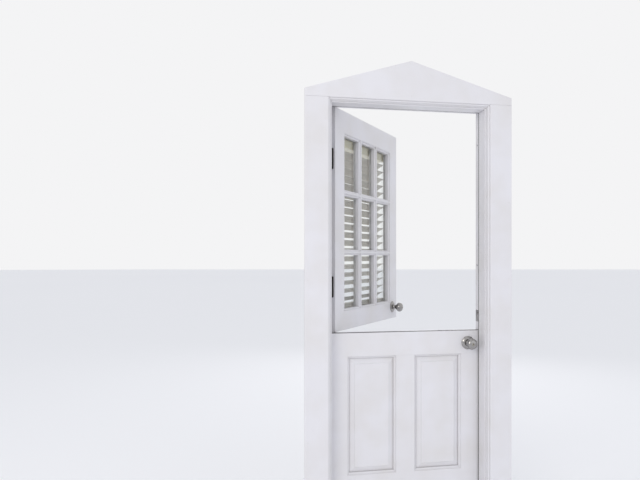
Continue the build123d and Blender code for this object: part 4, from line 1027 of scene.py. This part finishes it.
@dataclass
class KnobLock:
    """One leaf's knob lock: roses, knobs, plug, button, latch and their screws."""

    prefix: str
    z: float
    swing: Matrix
    rose_r: float = 33.0
    rose_t: float = 9.0
    knob_r: float = 27.0
    knob_out: float = 62.0
    shank_r: float = 12.9
    shank_in: float = 8.0
    spindle_r: float = 4.9
    spindle_z: tuple[float, float] = (-37.0, -7.5)
    plug_r: float = 7.4
    plug_in: float = 40.2
    plug_gap: float = 0.15
    plug_hole: float = 22.0
    # Opposite corners of the keyway's slot and of the ward beside it
    keyway: tuple[tuple[Point, Point], ...] = (
        ((-0.9, -4.5, 52.0), (0.9, 4.5, 66.0)),
        ((-2.0, -1.4, 52.0), (1.4, 1.2, 66.0)),
    )
    keyway_ease: float = 0.2
    shaft_r: float = 3.85
    shaft_h: float = 16.4
    shaft_z: float = 54.4
    shaft_gap: float = 0.15
    shaft_hole: float = 16.1
    # Height, half width and half length of the button's grip, from its foot up
    grip: tuple[Point, ...] = (
        (62.5, 2.6, 9.4),
        (63.0, 2.9, 9.9),
        (66.5, 2.5, 9.3),
        (70.0, 2.1, 9.0),
        (72.6, 1.9, 8.6),
        (73.4, 1.2, 7.8),
    )
    grip_sides: int = 28
    rose_screws_x: float = 23.5
    rose_screws_y: float = 50.6
    faceplate_x: float = 380.4
    faceplate_y: float = 22.0
    faceplate_screws_z: float = 22.0

    def face(self, side: Side) -> Matrix:
        """Find the leaf's face at the lock.

        Args:
            side: the face that is wanted.

        Returns:
            A frame on that face, with Z away from the leaf, swung with the leaf.
        """
        y = 0.0 if side is Side.OUTER else LEAF_THICKNESS
        turn = Vector((0, -side.value, 0)).to_track_quat("Z", "Y").to_matrix().to_4x4()
        return self.swing @ at(LOCK_X, y, self.z) @ turn

    def rose(self) -> Mesh:
        """Turn a stepped rose: a flat rim, a bead and a low dome round the shank.

        Returns:
            The rose, on a face at Z = 0.
        """
        r, t = self.rose_r, self.rose_t
        bore = self.shank_r + 0.1
        outline = [(bore, 0.0), (r - 0.4, 0.0), (r, 0.5)]
        outline += [(r, 1.6), (r - 0.5, 2.3), (r - 2.4, 2.6), (r - 3.0, 3.1)]
        outline += smooth_path([(r - 3.0, 3.1), (r * 0.8, 6.0), (r * 0.64, t - 0.6), (r * 0.56, t)], 5)
        outline += [(r * 0.5, t), (r * 0.48, t - 0.5), (bore + 0.6, t - 0.5), (bore, t - 0.9)]
        return lathe(outline, 72)

    def knob(self, side: Side) -> Mesh:
        """Turn a round knob on a waisted neck, with a flat ring round the plug or button.

        Args:
            side: the leaf's face that it stands on.

        Returns:
            The knob, on a face at Z = 0.
        """
        if side is Side.OUTER:
            hole, depth = self.plug_r + self.plug_gap, self.plug_hole
        else:
            hole, depth = self.shaft_r + self.shaft_gap, self.shaft_hole
        r, out, shank = self.knob_r, self.knob_out, self.shank_r
        outline = [(0.0, -self.shank_in), (shank, -self.shank_in), (shank, 11.4), (shank - 0.5, 12.0)]
        neck = [(shank - 0.5, 12.0), (11.4, 16.5), (11.3, 21.5), (14.5, 27.5), (20.6, 33.0)]
        outline += smooth_path([*neck, (25.2, 38.5), (r, 44.5), (26.2, 51.0), (23.2, 56.6)], 6)
        outline += [(22.7, 57.2), (22.0, 57.3), (21.6, 57.9)]
        outline += smooth_path([(21.6, 57.9), (17.5, 60.6), (hole + 4.2, out - 0.3), (hole + 3.4, out)], 4)
        outline += [(hole + 0.5, out), (hole, out - 0.5), (hole, out - depth), (0.0, out - depth)]
        return lathe(outline, 80)

    def plug(self) -> Mesh:
        """Turn the key plug, with a proud ring, and cut its notched keyway.

        Returns:
            The plug, on a face at Z = 0.
        """
        r, low, out = self.plug_r, self.plug_in, self.knob_out
        outline = [(0, low), (r, low), (r, 61.4), (7.3, 61.6), (6.5, 61.7), (6.2, out), (0, out)]
        plug = linked("plug", lathe(outline, 48))
        blocks = [eased_block(foot, top, self.keyway_ease) for foot, top in self.keyway]
        cutters = [linked("cutter", block) for block in blocks]
        for cutter in cutters:
            cut = plug.modifiers.new("cut", "BOOLEAN")
            cut.operation, cut.solver, cut.object = "DIFFERENCE", "EXACT", cutter
        return baked(plug, *cutters)

    def button(self) -> Mesh:
        """Shape the inner turn button: a waisted grip on a round shaft.

        Returns:
            The button, on a face at Z = 0.
        """
        shape = bmesh.new()
        count = self.grip_sides
        waves = [(math.cos(FULL_TURN * i / count), math.sin(FULL_TURN * i / count)) for i in range(count)]
        # Powers under 1 square the oval off, more along the grip than across it
        around = [(math.copysign(abs(c) ** 0.6, c), math.copysign(abs(s) ** 0.8, s)) for c, s in waves]
        rings = []
        for height, wide, long in self.grip:
            flat = ((-across * wide * MM, along * long * MM) for along, across in around)
            rings.append([shape.verts.new((x, y, height * MM)) for x, y in flat])
        for low, high in zip(rings, rings[1:]):
            for i in range(count):
                shape.faces.new((low[i], low[(i + 1) % count], high[(i + 1) % count], high[i]))
        shape.faces.new(rings[0][::-1])
        shape.faces.new(rings[-1])
        turn = Matrix.Rotation(math.pi / 2, 4, "Z")
        add_cone(shape, 24, self.shaft_r, self.shaft_r, self.shaft_h, at(0, 0, self.shaft_z) @ turn)
        bmesh.ops.recalc_face_normals(shape, faces=shape.faces)
        return settled(shape)

    def build(self) -> None:
        """Make and hang the lock's pieces, and dress the ones that stay."""
        p, leaf, knobs = self.prefix, f"{self.prefix}_leaf", f"{self.prefix}_knobs"
        nickel, slot = SATIN_NICKEL, "satin_nickel"
        outer, inner = self.face(Side.OUTER), self.face(Side.INNER)
        for side, place in ((Side.OUTER, outer), (Side.INNER, inner)):
            rose, knob = (f"{p}_{kind}_{side.name.lower()}" for kind in ("rose", "knob"))
            hang(f"{rose}_dressed", self.rose(), nickel, leaf, slot, rose, place=place)
            hang(f"{knob}_dressed", self.knob(side), nickel, knobs, slot, knob, place=place)
        low, high = self.spindle_z
        spindle = rods([((0, 0, low), (0, 0, high))], self.spindle_r, 24)
        hang(f"{p}_spindle", spindle, ZINC_SCREW, knobs, slot, place=outer)
        key = (f"{p}_key", "key_plug_metal", f"{p}_key_plug")
        hang(f"{p}_key_plug_dressed", self.plug(), KEY_PLUG, *key, place=outer)
        button = (f"{p}_button", slot, f"{p}_turn_button")
        hang(f"{p}_turn_button_dressed", self.button(), nickel, *button, place=inner)
        dress(nickel, f"{p}_latch_case", f"{p}_latch_bolt")
        # Two screws go through the inner rose and two into the latch's faceplate
        x, y, z = self.rose_screws_x, self.rose_screws_y, self.faceplate_screws_z
        spots = [((LOCK_X + dx, y, self.z), (0, 1, 0)) for dx in (x, -x)]
        spots += [((self.faceplate_x, self.faceplate_y, self.z + dz), (1, 0, 0)) for dz in (-z, z)]
        Screws(nickel, head_r=3.3).drive(f"{p}_lock_screws", spots, leaf, slot, self.swing)


@dataclass
class BarrelBolt:
    """The bolt that joins the leaves: plates, rod and screws."""

    x: float = 209.0
    head_y: float = 46.55
    half_spacing: float = 12.0
    plate_rows: tuple[float, float] = (1013.0, 1075.0)
    keeper_rows: tuple[float, float] = (962.0, 984.0)

    def build(self) -> None:
        """Dress the bolt and drive its screws."""
        dress(RUBBED_BRONZE, "barrel_bolt_plate", "barrel_bolt_rod", "barrel_bolt_keeper")
        columns = (self.x - self.half_spacing, self.x + self.half_spacing)
        jobs = (
            ("barrel_bolt_screws", self.plate_rows, "upper_leaf", OPEN),
            ("keeper_screws", self.keeper_rows, "lower_leaf", SHUT),
        )
        for name, rows, body, swing in jobs:
            spots = [((x, self.head_y, z), (0, 1, 0)) for x in columns for z in rows]
            Screws(RUBBED_BRONZE, head_r=2.9).drive(name, spots, body, "dark_bronze", swing)


@dataclass
class Blind:
    """The slatted blind on the upper leaf's inner face."""

    off: float = 2.0
    depth: float = 54.0
    width: float = 600.0
    headrail_low: float = 1923.0
    rail_low: float = 1099.0
    rail_h: float = 20.0
    ladder_x: float = 210.0
    slats: int = 19
    slat_w: float = 50.0
    tilt: float = 30.0
    low_gap: float = 25.0
    high_gap: float = 30.0
    rung_r: float = 0.35
    rung_past: float = 0.6
    rung_under: float = 1.9
    rung_dx: float = 1.4
    plug_r: float = 4.2
    plug_z: tuple[float, float] = (-1.2, 2.0)

    @property
    def middle_y(self) -> float:
        """The slats' middle, from the leaf's outer face."""
        return LEAF_THICKNESS + self.off + self.depth / 2

    @property
    def slat_low(self) -> float:
        """The lowest slat's height."""
        return self.rail_low + self.rail_h + self.low_gap

    @property
    def pitch(self) -> float:
        """The height from slat to slat."""
        return (self.headrail_low - self.high_gap - self.slat_low) / (self.slats - 1)

    def build(self) -> None:
        """Make and hang the blind's pieces, and dress the ones that stay."""
        slats = Slats(SLAT_VINYL, self.slats, self.pitch, self.width, self.slat_w, self.tilt, self.ladder_x)
        riders = ("upper_leaf", "blind_slat", "blind_slats")
        place = OPEN @ at(0.0, self.middle_y, self.slat_low)
        hang("blind_slats_dressed", slats.bake(), SLAT_VINYL, *riders, place=place, smooth=30.0)
        dress(CREAM_ENAMEL, "blind_headrail", "blind_brackets")
        dress(SLAT_VINYL, "blind_bottom_rail")
        dress(CORD, "blind_cords")
        dress(ACRYLIC, "blind_wand")
        self.rungs()
        self.cord_plugs()

    def rungs(self) -> None:
        """Tie the ladders' thin rungs, two under each slat, along its slope."""
        slope, half = math.radians(self.tilt), self.slat_w / 2 + self.rung_past
        run, fall, y = half * math.cos(slope), half * math.sin(slope), self.middle_y
        ends = []
        for ladder in (-self.ladder_x, self.ladder_x):
            for index in range(self.slats):
                z = self.slat_low + index * self.pitch - self.rung_under
                for x in (ladder - self.rung_dx, ladder + self.rung_dx):
                    ends.append(((x, y - run, z + fall), (x, y + run, z - fall)))
        hang("blind_ladder_rungs", rods(ends, self.rung_r, 6), CORD, "upper_leaf", "cord", place=OPEN)

    def cord_plugs(self) -> None:
        """Close the bottom rail with round plugs that hold the cords' knots."""
        low, high = (self.rail_low + z for z in self.plug_z)
        ends = [((x, self.middle_y, low), (x, self.middle_y, high)) for x in (-self.ladder_x, self.ladder_x)]
        plugs = rods(ends, self.plug_r, 20)
        hang("blind_cord_plugs", plugs, SLAT_VINYL, "upper_leaf", "blind_slat", place=OPEN)


@dataclass(frozen=True)
class Lamp:
    """One soft lamp: its place and aim in metres, its size in metres, its power in watts."""

    name: str
    where: Point
    aim: Point
    size: tuple[float, float]
    power: float
    code: str

    def build(self) -> None:
        """Hang the lamp and turn it to what it lights."""
        data = bpy.data.lights.new(self.name, "AREA")
        data.shape = "RECTANGLE"
        data.size, data.size_y = self.size
        data.energy = self.power
        data.color = srgb(self.code)[:3]
        lamp = linked(self.name, data)
        lamp.location = self.where
        lamp.rotation_mode = "QUATERNION"
        lamp.rotation_quaternion = (Vector(self.aim) - Vector(self.where)).to_track_quat("-Z", "Y")
        # The panes show the pale surround, not the lamp behind them
        lamp.visible_transmission = False


@dataclass
class Studio:
    """Floor, lamps, world and the camera at the photograph's viewing angle."""

    eye: Point = (-817.6, -2451.2, 1358.0)
    yaw: float = 9.245
    pitch: float = -0.094
    focal_px: float = 526.9
    drop_px: float = 18.4
    image_w: int = 640
    sensor_w: float = 36.0
    floor_half: float = 60000.0
    floor_drop: float = 0.5
    clip: tuple[float, float] = (0.05, 60.0)
    # Colour and strength of the surround, as a light and as it shows
    surround: tuple[tuple[str, float], ...] = (("#F3F5FA", 0.9), ("#F4F4F5", 1.0))
    lamps: tuple[Lamp, ...] = (
        Lamp("key", (-3.2, -4.2, 3.0), (0.0, 0.0, 1.0), (2.4, 2.4), 62.0, "#FFFBF4"),
        Lamp("front_fill", (2.4, -4.6, 1.6), (0.0, 0.0, 1.0), (3.0, 2.4), 8.0, "#EDF1FF"),
        Lamp("back_fill", (1.5, 4.2, 2.6), (0.0, 0.0, 1.1), (3.0, 2.4), 20.0, "#FFFFFF"),
    )

    def camera(self) -> None:
        """Stand the camera where the photograph was taken from."""
        data = bpy.data.cameras.new("viewpoint")
        data.sensor_width = self.sensor_w
        data.lens = self.focal_px / self.image_w * self.sensor_w
        data.shift_y = self.drop_px / self.image_w
        data.clip_start, data.clip_end = self.clip
        camera = linked("viewpoint", data)
        camera.location = Vector(self.eye) * MM
        camera.rotation_euler = (math.radians(90 + self.pitch), 0.0, math.radians(-self.yaw))
        bpy.context.scene.camera = camera

    def floor(self) -> None:
        """Lay the pale floor just under the sill."""
        shape = bmesh.new()
        place = at(0, 0, -self.floor_drop)
        bmesh.ops.create_grid(shape, x_segments=1, y_segments=1, size=self.floor_half * MM, matrix=place)
        mesh = settled(shape)
        mesh.materials.append(PAPER.material())
        linked("floor", mesh)

    def world(self) -> None:
        """Draw an even surround: nearly white to the eye, in gloss and through glass, and a soft light."""
        world = bpy.data.worlds.new("studio")
        bpy.context.scene.world = world
        world.use_nodes = True
        tree = world.node_tree
        tree.nodes.clear()
        seen = add(tree, "ShaderNodeLightPath", out="Is Camera Ray")
        rays = seen.node.outputs
        for ray in ("Is Glossy Ray", "Is Transmission Ray"):
            seen = add(tree, "ShaderNodeMath", {0: seen, 1: rays[ray]}, operation="MAXIMUM")
        light, shown = (
            add(tree, "ShaderNodeBackground", {"Color": srgb(code), "Strength": strength})
            for code, strength in self.surround
        )
        mixed = add(tree, "ShaderNodeMixShader", {0: seen, 1: light, 2: shown})
        add(tree, "ShaderNodeOutputWorld", {"Surface": mixed})

    def build(self) -> None:
        """Set the camera, floor, world and lamps."""
        self.camera()
        self.floor()
        self.world()
        for lamp in self.lamps:
            lamp.build()
        bpy.context.scene.view_settings.view_transform = "Standard"


def main() -> None:
    """Build every sub-assembly in order."""
    logging.basicConfig(level=logging.INFO, format="%(name)s: %(message)s")
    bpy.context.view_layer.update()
    DoorFrame().build()
    UpperLeaf().build()
    LowerLeaf().build()
    HingeScrews().build()
    KnobLock("upper", UPPER_LOCK_Z, OPEN).build()
    KnobLock("lower", LOWER_LOCK_Z, SHUT).build()
    BarrelBolt().build()
    Blind().build()
    Studio().build()


if __name__ == "__main__":
    main()
